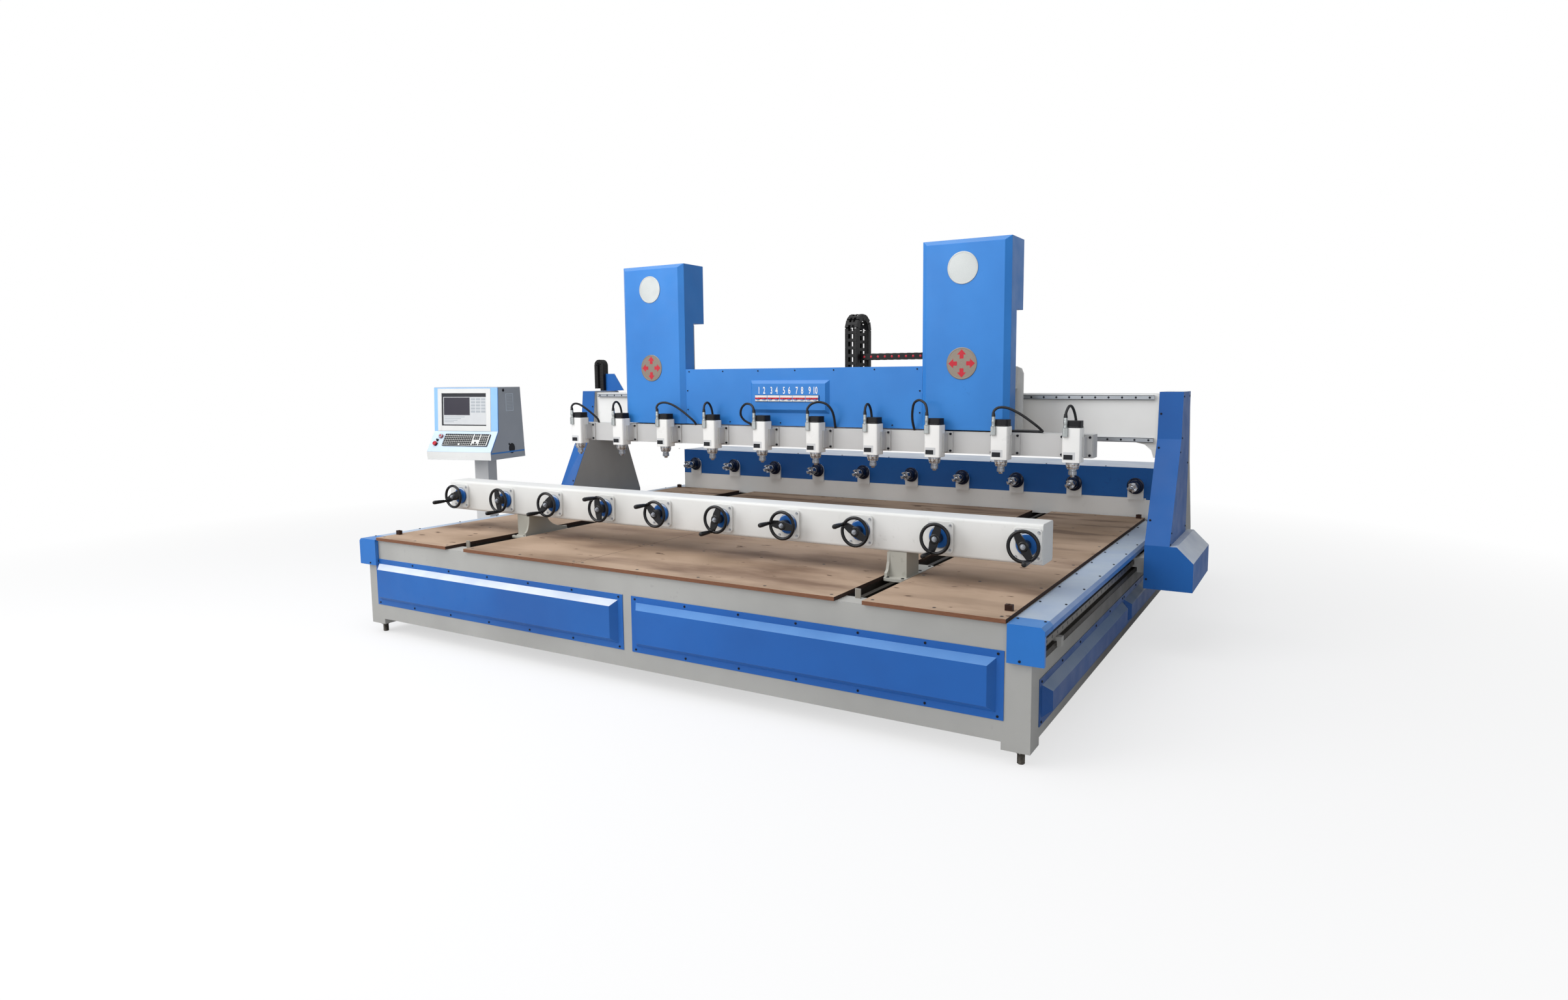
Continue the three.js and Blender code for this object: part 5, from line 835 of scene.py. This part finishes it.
piece("crossbeam_rail_groove_shade", rail_groove_shade, black_steel, "gantry")
piece("crossbeam_rail_screws", beam_holes, black_steel, "gantry")

# End of the gantry's cable chain: its last arch of nylon links on the left column, open at the
# sides and clipped link to link. The rest of that chain is hidden behind the column.
# Glass-filled nylon is a dry satin black that catches light only on its edges.
chain_nylon = moulded("glass filled nylon, black", 0.5, "#0c0c0d", "#070708", 2.5)


def chain_links(form, route, across, width, height, pitch):
    """Links in a row: two side plates, and over and under a lid with two narrow windows."""
    side_plate, lid_thickness = 5, 4
    half_width, half_height = width / 2, height / 2
    half_link, half_bridge, bar_edge = pitch * 0.52, pitch * 0.2, 0.24 * width
    inner_x = half_width - side_plate
    bars = ((-0.06 * width, 0.06 * width), (bar_edge, inner_x), (-inner_x, -bar_edge))
    lengths = [0]
    for one, two in zip(route, route[1:]):
        lengths.append(lengths[-1] + (two - one).length)
    for number in range(int(lengths[-1] / pitch)):
        reach = (number + 0.5) * pitch
        k = max(i for i in range(len(route) - 1) if lengths[i] <= reach)
        ahead = (route[k + 1] - route[k]).normalized()
        turn = Matrix((across, ahead, ahead.cross(across))).transposed().to_4x4()
        turn.translation = route[k] + ahead * (reach - lengths[k])
        for face in (-1, 1):
            lid_inner = face * (half_height - lid_thickness)
            block(form, (face * half_width, -half_link, -height * 0.47),
                  (face * inner_x, half_link, height * 0.47), turn)
            block(form, (-inner_x, -half_bridge, face * half_height),
                  (inner_x, half_bridge, lid_inner), turn)
            for near, far in bars:
                block(form, (near, -half_link, face * (half_height - 1)),
                      (far, half_link, lid_inner), turn)


def arc_points(centre, start, end, radius, steps, first, second):
    """Points on an arc from start to end degrees, in the plane of two axes."""
    angles = [math.radians(a) for a in every(start, end, steps)]
    return [centre + radius * (math.cos(a) * first + math.sin(a) * second) for a in angles]


along_x, along_y, along_z = Vector((1, 0, 0)), Vector((0, 1, 0)), Vector((0, 0, 1))
arch_x, arch_y, arch_crown_z, arch_radius = -2248.5, 2290, 1625.5, 29.5
arch_middle = Vector((arch_x, arch_y, arch_crown_z))
arch_arc = arc_points(arch_middle, 180, 0, arch_radius, 13, along_x, along_z)
sleeve_arcs = []
for start, end, radius in ((180, 0, 46.8), (0, 180, 12.2)):
    points = arc_points(arch_middle, start, end, radius, 13, along_x, along_z)
    sleeve_arcs.append([(point.x, point.z) for point in points])
sleeve = bmesh.new()
sleeve_outline = [(-2295.3, 1438.7), *sleeve_arcs[0], (-2201.7, 1421.3), (-2236.3, 1421.3),
                  *sleeve_arcs[1], (-2260.7, 1438.7)]
prism(sleeve, sleeve_outline, 2261.7, 2318.3)
arch_route = [Vector((-2278, arch_y, 1439)), *arch_arc, Vector((-2219, arch_y, 1424))]
chain_links(sleeve, arch_route, along_y, 59, 36.5, 24)
piece("gantry_chain_end", sleeve, chain_nylon, "gantry")

# Carriage: two plates and boxes in off-white enamel on blocks of the crossbeam's rails, with a tray
# where the lift's cable chain stands: an upright loop of links, and a level run with red pins.
finish_node("x_carriage", white_spray, 1.5)
links = bmesh.new()
lift_chain = (92, 42, 50)
loop_x, loop_foot_z, loop_crown_z, loop_radius = 204, 1430.5, 1824.5, 81.5
loop_middle = Vector((loop_x, 2102.5, loop_crown_z))
loop_arc = arc_points(loop_middle, 180, 0, loop_radius, 19, along_y, along_z)
loop_route = [Vector((loop_x, 2021, loop_foot_z)), *loop_arc, Vector((loop_x, 2184, loop_foot_z))]
run_y, run_z, drop_x = 2096, 1647, 1109
run_route = [Vector((212, run_y, run_z)), Vector((1098, run_y, run_z))]
drop_route = [Vector((drop_x, run_y, 1626)), Vector((drop_x, run_y, loop_foot_z))]
chain_links(links, loop_route, along_x, *lift_chain)
chain_links(links, run_route, along_y, *lift_chain)
chain_links(links, drop_route, along_y, *lift_chain)
block(links, (1086, 2052, 1627), (1129, 2140, 1667))
piece("lift_chain", links, chain_nylon, "carriage", ["cable_chain"], corner=0.8)
pins = bmesh.new()
pin_head = [(2051, 8.5), (2050.2, 8.5), (2049.6, 6), (2049.6, 0)]
for x in every(275, 1070, 17):
    turned(pins, pin_head, (x, 0, run_z), "y", 12)
# Moulded acetal is waxy and coloured through: a clear red with a soft, small highlight.
red_plastic = moulded("acetal, moulded red", 0.3, "#c8283a", "#a81e2c", 3.33)
piece("chain_pins", pins, red_plastic, "carriage")

# Towers and front panel: folded blue sheet over the lift, screwed on, with two round plates of
# brushed stainless on each tower. The upper ones are bare and the lower ones point four ways.
# The towers have the plain, clear blue that dust hardly dulls; the bed's covers have it darkened as
# painted shade.
blue_coat = sprayed("powder coated steel sheet, blue", 0.4,
                    "#3480cc", "#2c73bd", "#9db4cc", 0.5, ior=film_ior)
for name in ["tower_left", "tower_right", "front_panel"]:
    finish_node(name, blue_coat, 1.2)
# Brushing leaves fine lines in the steel: silvery above, and darker and warm below, where the warm
# brown is a painted reflection.
lower_disc_z, upper_disc_z, brush_mm = 1588, 2130, 3.85
steel_with_painted_reflection = machined("stainless sheet, brushed, warm painted reflection", 0.4,
                          "#8b8178", "#625a52", (1, 1, 9), brush_mm)
brushed_steel = machined("stainless sheet, brushed", 0.34,
                         "#a6a9a8", "#868989", (1, 1, 9), brush_mm)
disc_finishes = {lower_disc_z: steel_with_painted_reflection, upper_disc_z: brushed_steel}
disc_centres = {"left": -1210, "right": 1088}
disc_radius, tower_face_y, disc_rim_y, disc_face_y = 92, 1682, 1678.8, 1679.4
disc_steps = [(tower_face_y, disc_radius + 0.3), (1679.6, disc_radius + 0.3),
              (disc_rim_y, disc_radius - 1.5), (disc_rim_y, disc_radius - 7),
              (disc_face_y, disc_radius - 8), (disc_face_y, 0)]
arrow = [(-12, 28), (12, 28), (12, 51), (27, 51), (0, 81), (-27, 51), (-12, 51)]
for word, disc_x in disc_centres.items():
    for z, disc_finish in disc_finishes.items():
        disc = bmesh.new()
        turned(disc, disc_steps, (disc_x, 0, z), "y", 64)
        piece(f"tower_disc_{word}_{z}", disc, disc_finish, "lift", smooth=20)
    pointers = bmesh.new()
    for quarter in range(4):
        spin = Matrix.Rotation(math.radians(90 * quarter), 4, "Y")
        spin = Matrix.Translation((disc_x, 0, lower_disc_z)) @ spin
        prism(pointers, arrow, disc_face_y + 0.1, 1678.6, "y", spin)
    piece(f"tower_arrows_{word}", pointers, red_plastic, "lift")
panel_y = 1707
panel_spots = [(x, panel_y, 1560) for x in every(-900, 800, 7)]
panel_spots += [(c + a, panel_y, 1222) for c in (-650, -250, 150, 550) for a in (-88, 88)]
panel_spots += [(x, panel_y, z) for x in (-915, 818) for z in (1300, 1430)]
screws("front_panel_screws", panel_spots, "y", -1, "lift", 5)

# Breakers: five double miniature circuit breakers of white ABS with red toggles on the switch box,
# set in a cut-out whose thin rim of shade is painted as a black strip, with plain painted numbers
# above them, one for each spindle.
# White ABS comes evenly glossy from the mould; the toggles are the same red as the pins.
white_abs = moulded("abs, moulded white", 0.35, "#e3e3e1", "#d2d2d0", 2)
# Screen printed ink is flat and opaque, so the figures are a plain white without a highlight.
figure_ink = moulded("screen printed ink, white", 0.5, "#f0f0ee", "#e0e0de")
strip_left, strip_low, strip_high, unit_width, unit_count = -340, 1362, 1400, 96, 5
box_face_y, cutout_y, body_y, toggle_y = 1685, 1684.3, 1676.7, 1670.7
way_pitch = unit_width / 2
way_centres = [strip_left + way_pitch * (way + 0.5) for way in range(2 * unit_count)]
cutout_shade, units, toggles, figures = bmesh.new(), bmesh.new(), bmesh.new(), bmesh.new()
# A black strip round the breakers is painted shade in their cut-out.
block(cutout_shade, (strip_left - 3, cutout_y, strip_low - 3),
      (strip_left + unit_count * unit_width + 3, box_face_y + 0.5, strip_high + 3))
for unit in range(unit_count):
    left, right = strip_left + unit * unit_width, strip_left + (unit + 1) * unit_width
    block(units, (left + 1.5, body_y, strip_low + 24), (right - 1.5, box_face_y, strip_high + 0.3))
    block(units, (left + 1.5, body_y, strip_low - 0.3), (right - 1.5, box_face_y, strip_low + 12))
    block(units, (left + 1.5, body_y + 1.3, strip_low + 11),
          (right - 1.5, box_face_y, strip_high - 12))
    block(toggles, (left + 4, body_y - 0.5, strip_low + 13),
          (right - 4, box_face_y, strip_low + 24))
for middle in way_centres:
    block(toggles, (middle - 10.2, toggle_y, 1375.8), (middle + 10.2, 1677, 1386.4))
    for pole in (-16, 16):
        block(toggles, (middle + pole - 4, toggle_y + 1.8, 1376), (middle + pole + 4, 1677, 1385))
piece("breaker_cutout_shade", cutout_shade, black_steel, "lift")
piece("breaker_bodies", units, white_abs, "lift", corner=0.8)
piece("breaker_toggles", toggles, red_plastic, "lift", corner=0.5)
figure_height, figure_narrowing, figure_low, pair_shift = 62, 0.56, 1412, 4
ink_height, stroke_gain = 0.4, 0.9
stand_up = Matrix.Rotation(math.radians(90), 4, "X") @ Matrix.Diagonal((figure_narrowing, 1, 1, 1))
for way, middle in enumerate(way_centres):
    figure = bpy.data.curves.new("figure", "FONT")
    figure.body, figure.size, figure.align_x = str(way + 1), figure_height, "CENTER"
    figure.extrude, figure.offset = ink_height, stroke_gain
    holder = bpy.data.objects.new("figure", figure)
    bpy.context.scene.collection.objects.link(holder)
    outline = bpy.data.meshes.new_from_object(holder)
    figure_x = middle + (-pair_shift if way % 2 else pair_shift)
    outline.transform(Matrix.Translation((figure_x, box_face_y - 0.1, figure_low)) @ stand_up)
    figures.from_mesh(outline)
    bpy.data.objects.remove(holder)
    bpy.data.curves.remove(figure)
    bpy.data.meshes.remove(outline)
piece("breaker_figures", figures, figure_ink, "lift")

# Spindle bar: a box bar in off-white enamel on the lift's guided plates. Ten air-cooled motors are
# clamped to it, each in a white ribbed aluminium housing with a black fan cap and a steel nose.
# The bar has a greyer copy of the off-white enamel, cooler and greyer than the crossbeam: painted
# shade.
bar_spray_in_painted_shade = sprayed("machine enamel, off-white in painted shade", 0.5, "#c6c6c5", "#bababa", "#d0d0cf", 0.4)
finish_node("spindle_bar", bar_spray_in_painted_shade, 1.5)
# Stoved enamel on an extrusion is smoother and whiter than the sprayed beams round it.
housing_white = sprayed("stoved enamel on aluminium, white", 0.32,
                        "#f0f0ee", "#e6e6e4", "#f0f0ee", 0.3)
# The plugs are die cast: a pale satin metal whose fine skin blurs the lamps.
connector_zinc = machined("die cast zinc, satin", 0.42, "#b4b8b8", "#8b908f")
# The warm brown rings on the nose are a painted reflection of the boards: brown lines between the
# bright steps.
nose_reflection_metal = machined("turned steel, warm painted reflection", 0.3, "#a8835c", "#6c4f35", (1, 1, 6), 5)
# Filled polyamide comes rough from its mould, so the fan caps are matt black with soft corners.
cap_polyamide = moulded("polyamide, moulded black", 0.6, "#18181c", "#0f0f12", 2)
# Label foil is smooth and thin: one black and one pale rectangle, both left blank.
black_foil = moulded("anodised label foil, black and blank", 0.3, "#26282c", "#1b1c20")
pale_foil = moulded("label foil, pale and blank", 0.35, "#d2d3d4", "#c6c8ca", 3.33)
motor_y, motor_low, motor_high, plug_x = 1621, 1047.6, 1234.4, -31.5
bolt_steps = [(1680, 7), (1673, 7), (1672.4, 6), (1672.4, 3.4), (1675, 3.4), (1675, 0)]
plug_steps = [(1234, 12.4), (1240, 12.4), (1241, 10.4), (1254, 10.4), (1255, 11.6), (1268, 11.6),
              (1269, 10.6), (1289, 10.2), (1294, 9.2), (1294, 0)]
boot_steps = [(1289, 10.6), (1294, 10.6), (1298, 9.8), (1309, 9), (1309, 0)]
nose_steps = [(1048, 37.4), (1044, 37.4), (1043, 35.6), (1034, 35.6), (1033, 33), (1031.5, 33),
              (1031, 34.6), (1020, 33.4), (1019, 30.6), (1012, 30.4), (1009.8, 28.5), (1009.8, 0)]
warm_ring_steps = [[(1033.6, 35.9), (1031.2, 35.9), (1031.2, 30), (1033.6, 30)],
              [(1019.4, 34.2), (1017.4, 34.2), (1017.4, 28), (1019.4, 28)]]
nut_steps = [(1009.6, 14), (1009.2, 21), (1002, 21), (1001, 19.6), (999, 19.6), (998, 21),
             (980, 21), (977.8, 18.5), (977.8, 12), (970, 11.6), (967, 10), (966.8, 7), (975, 6.5),
             (975, 0)]
housings, caps, flanges, connectors, noses = [bmesh.new() for _ in range(5)]
warm_rings, labels, bolts, foils, boots = [bmesh.new() for _ in range(5)]
for centre in motor_centres:
    prism(housings, rounded(centre - 48, 1579.5, centre + 48, 1662, 9), motor_low, motor_high, "z")
    for y in every(1592, 1650, 8):
        for out in (-1, 1):
            block(housings, (centre + out * 47.5, y - 2.4, 1050),
                  (centre + out * 50, y + 2.4, 1232))
    prism(caps, rounded(centre - 47, 1581, centre + 47, 1661, 13, 6), motor_high - 0.2, 1241, "z")
    prism(caps, rounded(centre - 45.4, 1582.4, centre + 45.4, 1659.6, 12.4, 6), 1241, 1272.5, "z")
    block(flanges, (centre - 88.4, 1679.6, 1066.8), (centre + 88.4, 1690, 1195.2))
    for out in (-1, 1):
        block(flanges, (centre + out * 60.4, 1662, 1076.6), (centre + out * 50, 1680, 1185.4))
        for z in (1082, 1180):
            turned(bolts, bolt_steps, (centre + out * 76, 0, z), "y", 12)
    prism(connectors, rounded(centre - 46.5, 1567.6, centre - 17, 1584, 4), 1186, 1234, "z")
    turned(connectors, plug_steps, (centre + plug_x, 1576, 0), "z", 18)
    turned(boots, boot_steps, (centre + plug_x, 1575.4, 0), "z", 16)
    block(foils, (centre - 42, 1579.1, 1062), (centre + 22, 1581, 1104))
    block(labels, (centre - 40, 1578.7, 1064), (centre + 9, 1581, 1090))
    turned(noses, nose_steps, (centre, motor_y, 0), "z", 36)
    for ring in warm_ring_steps:
        turned(warm_rings, ring, (centre, motor_y, 0), "z", 36, closed=True)
piece("motor_housings", housings, housing_white, "lift", corner=0.8)
piece("motor_fan_caps", caps, cap_polyamide, "lift", corner=1.2)
piece("motor_flanges", flanges, bar_spray_in_painted_shade, "lift", corner=1)
piece("motor_connectors", connectors, connector_zinc, "lift", corner=0.8)
piece("motor_blank_labels", labels, black_foil, "lift")
piece("motor_blank_foils", foils, pale_foil, "lift")
piece("motor_noses", noses, claw_steel, "lift")
piece("motor_nose_warm_rings", warm_rings, nose_reflection_metal, "lift")
piece("motor_bolts", bolts, black_steel, "lift")
piece("lead_boots", boots, cable_sheath, "lift")
for place, centre in enumerate(motor_centres, 1):
    nut = bmesh.new()
    turned(nut, nut_steps, (centre, motor_y, 0), "z", 24)
    for spanner_face in range(8):
        spin = Matrix.Rotation(math.radians(45 * spanner_face), 4, "Z")
        spin = Matrix.Translation((centre, motor_y, 0)) @ spin
        block(nut, (19.6, -3.4, 980), (21.9, 3.4, 997), spin)
    piece(f"collet_nut_{place}", nut, claw_steel, f"spindle_body_{place}",
          [f"spindle_nose_{place}"])

# Console: a folded sheet cabinet in grey, with pale blue front strips, a white bezel round the
# screen and a sloping shelf for the keyboard and two stop buttons, on a square post of its own.
console_place = Matrix.Translation((-3704, 1702, 0)) @ Matrix.Rotation(math.radians(13.8), 4, "Z")
# Powder coat on the console is fine and even. The cabinet's grey is painted shade on its sides; its
# front strips are paler and cooler.
console_grey_painted_shade = sprayed("powder coated sheet, grey as painted shade", 0.5,
                       "#a2a7ad", "#969ba1", "#c4cbd2", 0.6)
tube_grey = sprayed("powder coated tube, pale grey", 0.5, "#c6c6c6", "#b9b9b9", "#cdcdcc", 0.4)
strip_blue = sprayed("powder coated sheet, pale blue", 0.42, "#8fbdea", "#83b2e2", "#c3d6e8", 0.5)
shelf_blue = sprayed("powder coated sheet, blue-white", 0.42, "#cbdcec", "#bdd0e4", "#d8e3ed", 0.5)
bezel_white = sprayed("powder coated sheet, warm white", 0.42, "#dcdcda", "#d0d0cd", "#dcdcda", 0.3)
finish_node("console_cabinet", console_grey_painted_shade, 3)
finish_node("console_stand", tube_grey, 2)


def leaning(corner, own_y):
    """The place of a sloping panel of the console, from its corner and the way its own Y points."""
    own_y = Vector(own_y).normalized()
    tilt = Matrix((along_x, own_y, along_x.cross(own_y))).transposed().to_4x4()
    return console_place @ Matrix.Translation(corner) @ tilt


console_face = leaning((0, 112, 1083), (0, 372, -19))
console_shelf = leaning((0, 0, 913), (0, 112, 170))
face_height, shelf_length = 372.5, 203.6
strips, bezel = bmesh.new(), bmesh.new()
for left, right, low, high in ((0.4, 38, 1, face_height - 3), (560, 628.6, 1, face_height - 3),
                               (38, 560, 362, face_height - 3)):
    block(strips, (left, -0.5, low), (right, 2, high))
for left, right, low, high in ((38, 75, 1, 361), (518, 562, 1, 361), (75, 518, 1, 46),
                               (75, 518, 321.5, 361)):
    block(bezel, (left, -4, low), (right, 2, high))
piece("console_face_strips", strips, strip_blue, "bed", place=console_face)
piece("console_bezel", bezel, bezel_white, "bed", place=console_face, corner=1.5)
# The display is switched on: even, pale and faintly lit, under the dull film of its front. Its
# parts are thin films, each with its colours, its light and its rectangles in the screen's plane.
screen_floor = 5.8
cells = [(364 + column * 50, 262 - row * 26, 406 + column * 50, 280 - row * 26)
         for row in range(5) for column in range(3)]
lines = [(98, 118 - row * 14, 300 - 36 * row, 124 - row * 14) for row in range(4)]
screen_parts = {
    "frame": ("#1b1d22", "#121317", 0, (-1.5, 0.5), [(75.2, 46.3, 517.8, 321.2)]),
    "title": ("#23262d", "#1b1d23", 0, (-2, -1.4), [(76, 292, 517, 314)]),
    "window": ("#33303b", "#2b2933", 0.04, (-2.3, -1.8), [(94, 136, 352, 286)]),
    "page": ("#c9cbcc", "#bec0c2", 0.1, (-1.9, -1.4), [(88, 56, 512, 290)]),
    "cells": ("#abb0b5", "#a2a7ac", 0.05, (-2.2, -1.8), cells + lines),
}
for part, (tint, shade, light, (front, back), areas) in screen_parts.items():
    film = moulded(f"display film, {part}", 0.3, tint, shade)
    if light:
        shader = film.node_tree.nodes["Principled BSDF"]
        shader.inputs["Emission Color"].default_value = paint_from_hex(tint)
        shader.inputs["Emission Strength"].default_value = light
    glass = bmesh.new()
    for left, low, right, high in areas:
        block(glass, (left, screen_floor + front, low), (right, screen_floor + back, high))
    piece(f"screen_{part}", glass, film, "bed", place=console_face)
shelf, lip = bmesh.new(), bmesh.new()
block(shelf, (0.4, 1.5, -1), (628.6, shelf_length - 1, 0.4))
piece("console_shelf", shelf, shelf_blue, "bed", place=console_shelf)
prism(lip, [(1, 912.6), (-0.1, 912.6), (3.7, 848), (5, 848)], 0.6, 628.4, "x")
piece("console_lip", lip, bezel_white, "bed", place=console_place)
side_x = 628.5
trim_x, vent_x, slat_x = side_x + 1.1, side_x + 2.1, side_x + 1.5
side_trim, vent, fittings = bmesh.new(), bmesh.new(), bmesh.new()
block(side_trim, (side_x, 8, 896), (trim_x, 484, 908))
prism(side_trim, [(2, 912), (12, 912), (121, 1083), (139, 1450), (133, 1450), (113, 1084)], side_x,
      trim_x, "x")
piece("console_side_trim", side_trim, blue_coat, "bed", place=console_place)
for near, low, far, high in ((236, 1250, 244, 1400), (336, 1250, 344, 1400), (244, 1250, 336, 1258),
                             (244, 1392, 336, 1400)):
    block(vent, (side_x, near, low), (vent_x, far, high))
for z in every(1268, 1382, 10):
    block(vent, (side_x, 250, z - 2.4), (slat_x, 330, z + 1.4))
# The vent is a pressed grille, painted a little paler than the cabinet: its slats draw thin lines.
vent_grey = moulded("painted pressing, pale grey", 0.5, "#c6ced5", "#b5bec6")
piece("console_vent", vent, vent_grey, "bed", place=console_place, corner=0.5)
round_hatch = [(side_x, 44), (side_x + 0.9, 44), (side_x + 0.9, 0)]
lock = [(side_x, 12), (634, 12), (634, 5), (631, 5), (631, 0)]
hatch_knob = [(side_x, 9), (632, 9), (633, 7), (633, 0)]
for profile, y, z, steps in ((round_hatch, 300, 930, 28), (lock, 205, 1428, 20),
                             (hatch_knob, 262, 968, 16)):
    turned(fittings, profile, (0, y, z), "x", steps)
piece("console_fittings", fittings, black_steel, "bed", place=console_place)

# Keyboard: a black ABS tray, screwed together from below, with a pale deck and black key caps that
# taper upward, each pressed on its own stem. It lies loose on the console's shelf.
# Textured black ABS is nearly matt, so the key caps show as dark tiles with a faint grey top.
black_abs = moulded("abs, moulded black, fine grained", 0.45, "#202126", "#17181b", 1.11)
keys_place = console_shelf @ Matrix.Translation((131, 56, 0.3))
key_pitch, key_width, key_depth, row_pitch, function_row_gap = 18.6, 13.4, 12.8, 17.6, 2.4
key_base_z, key_top_z, key_taper, space_bar = 9.6, 15.6, 1.6, (65.6, 157)
main_columns, cursor_columns, number_columns = [
    [first + key_pitch * c for c in range(count)] for first, count in ((8, 15), (296, 3), (360, 4))]
tray, deck, keys = bmesh.new(), bmesh.new(), bmesh.new()
prism(tray, rounded(0, 0, 445, 116, 6), 0, 9, "z")
prism(deck, rounded(5, 4, 440, 112, 4), 8.5, key_base_z, "z")
for row in range(6):
    low = 8 + row * row_pitch + (function_row_gap if row == 5 else 0)
    high = low + key_depth
    cursors = {1: cursor_columns[1:2], 2: []}.get(row, cursor_columns)
    lefts = [*main_columns, *cursors, *number_columns]
    if row == 0:
        lefts = [left for left in lefts if not 64 < left < 160]
    spans = [(left + 1, left + 1 + key_width) for left in lefts] + ([space_bar] if row == 0 else [])
    for a, b in spans:
        base = [(a, low), (b, low), (b, high), (a, high)]
        top_a, top_b, top_low, top_high = a + key_taper, b - key_taper, low + key_taper, high - 1.2
        top = [(top_a, top_low), (top_b, top_low), (top_b, top_high), (top_a, top_high)]
        rings = [[keys.verts.new((u, v, w)) for u, v in outline]
                 for outline, w in ((base, key_base_z), (top, key_top_z))]
        for ring in rings:
            keys.faces.new(ring)
        for k in range(4):
            keys.faces.new((rings[0][k], rings[0][k - 1], rings[1][k - 1], rings[1][k]))
piece("keyboard_tray", tray, black_abs, "bed", ["keyboard"], place=keys_place,
      corner=1)
piece("keyboard_deck", deck, white_abs, "bed", place=keys_place)
piece("keyboard_keys", keys, black_abs, "bed", place=keys_place)

# Stop buttons: red mushroom heads on black collars. The front one is live and is pushed 6 mm down;
# the one behind it is a plain twin, with a small black selector knob between them.
live_spot, twin_spot, selector_spot = (62, 74, 0), (92, 148, 0), (66, 112, 0)
live_head = [(7, 0), (7, 8.5), (13.8, 8.5), (14, 17.5), (16, 19), (21, 19), (25.2, 16.5),
             (27.4, 11), (28, 5), (28, 0)]
twin_head = [(0.5, 9.3), (7.8, 9.3), (7.8, 17.8), (10, 19.3), (15, 19.3), (19.4, 16.8), (21.8, 11),
             (22.4, 5), (22.4, 0)]
live_collar = [(6.2, 9.6), (6.2, 14.5), (4.5, 16.4), (0.4, 17.5), (0.4, 9.6)]
twin_collar = [(0.4, 14), (3, 14), (4, 12), (4, 0)]
selector = [(0.4, 12), (3, 12), (4, 8), (14, 7.4), (15, 6), (15, 0)]
live, twin, collars = bmesh.new(), bmesh.new(), bmesh.new()
turned(live, live_head, live_spot, "z", 32)
turned(twin, twin_head, twin_spot, "z", 32)
turned(collars, live_collar, live_spot, "z", 28, closed=True)
turned(collars, twin_collar, twin_spot, "z", 28)
turned(collars, selector, selector_spot, "z", 24)
block(collars, (64.5, 104, 14), (67.5, 120, 18.5))
piece("stop_button_head", live, red_plastic, "button_body", ["emergency_button"],
      place=console_shelf)
piece("stop_button_twin", twin, red_plastic, "bed", place=console_shelf)
piece("button_collars", collars, black_abs, "bed", place=console_shelf)
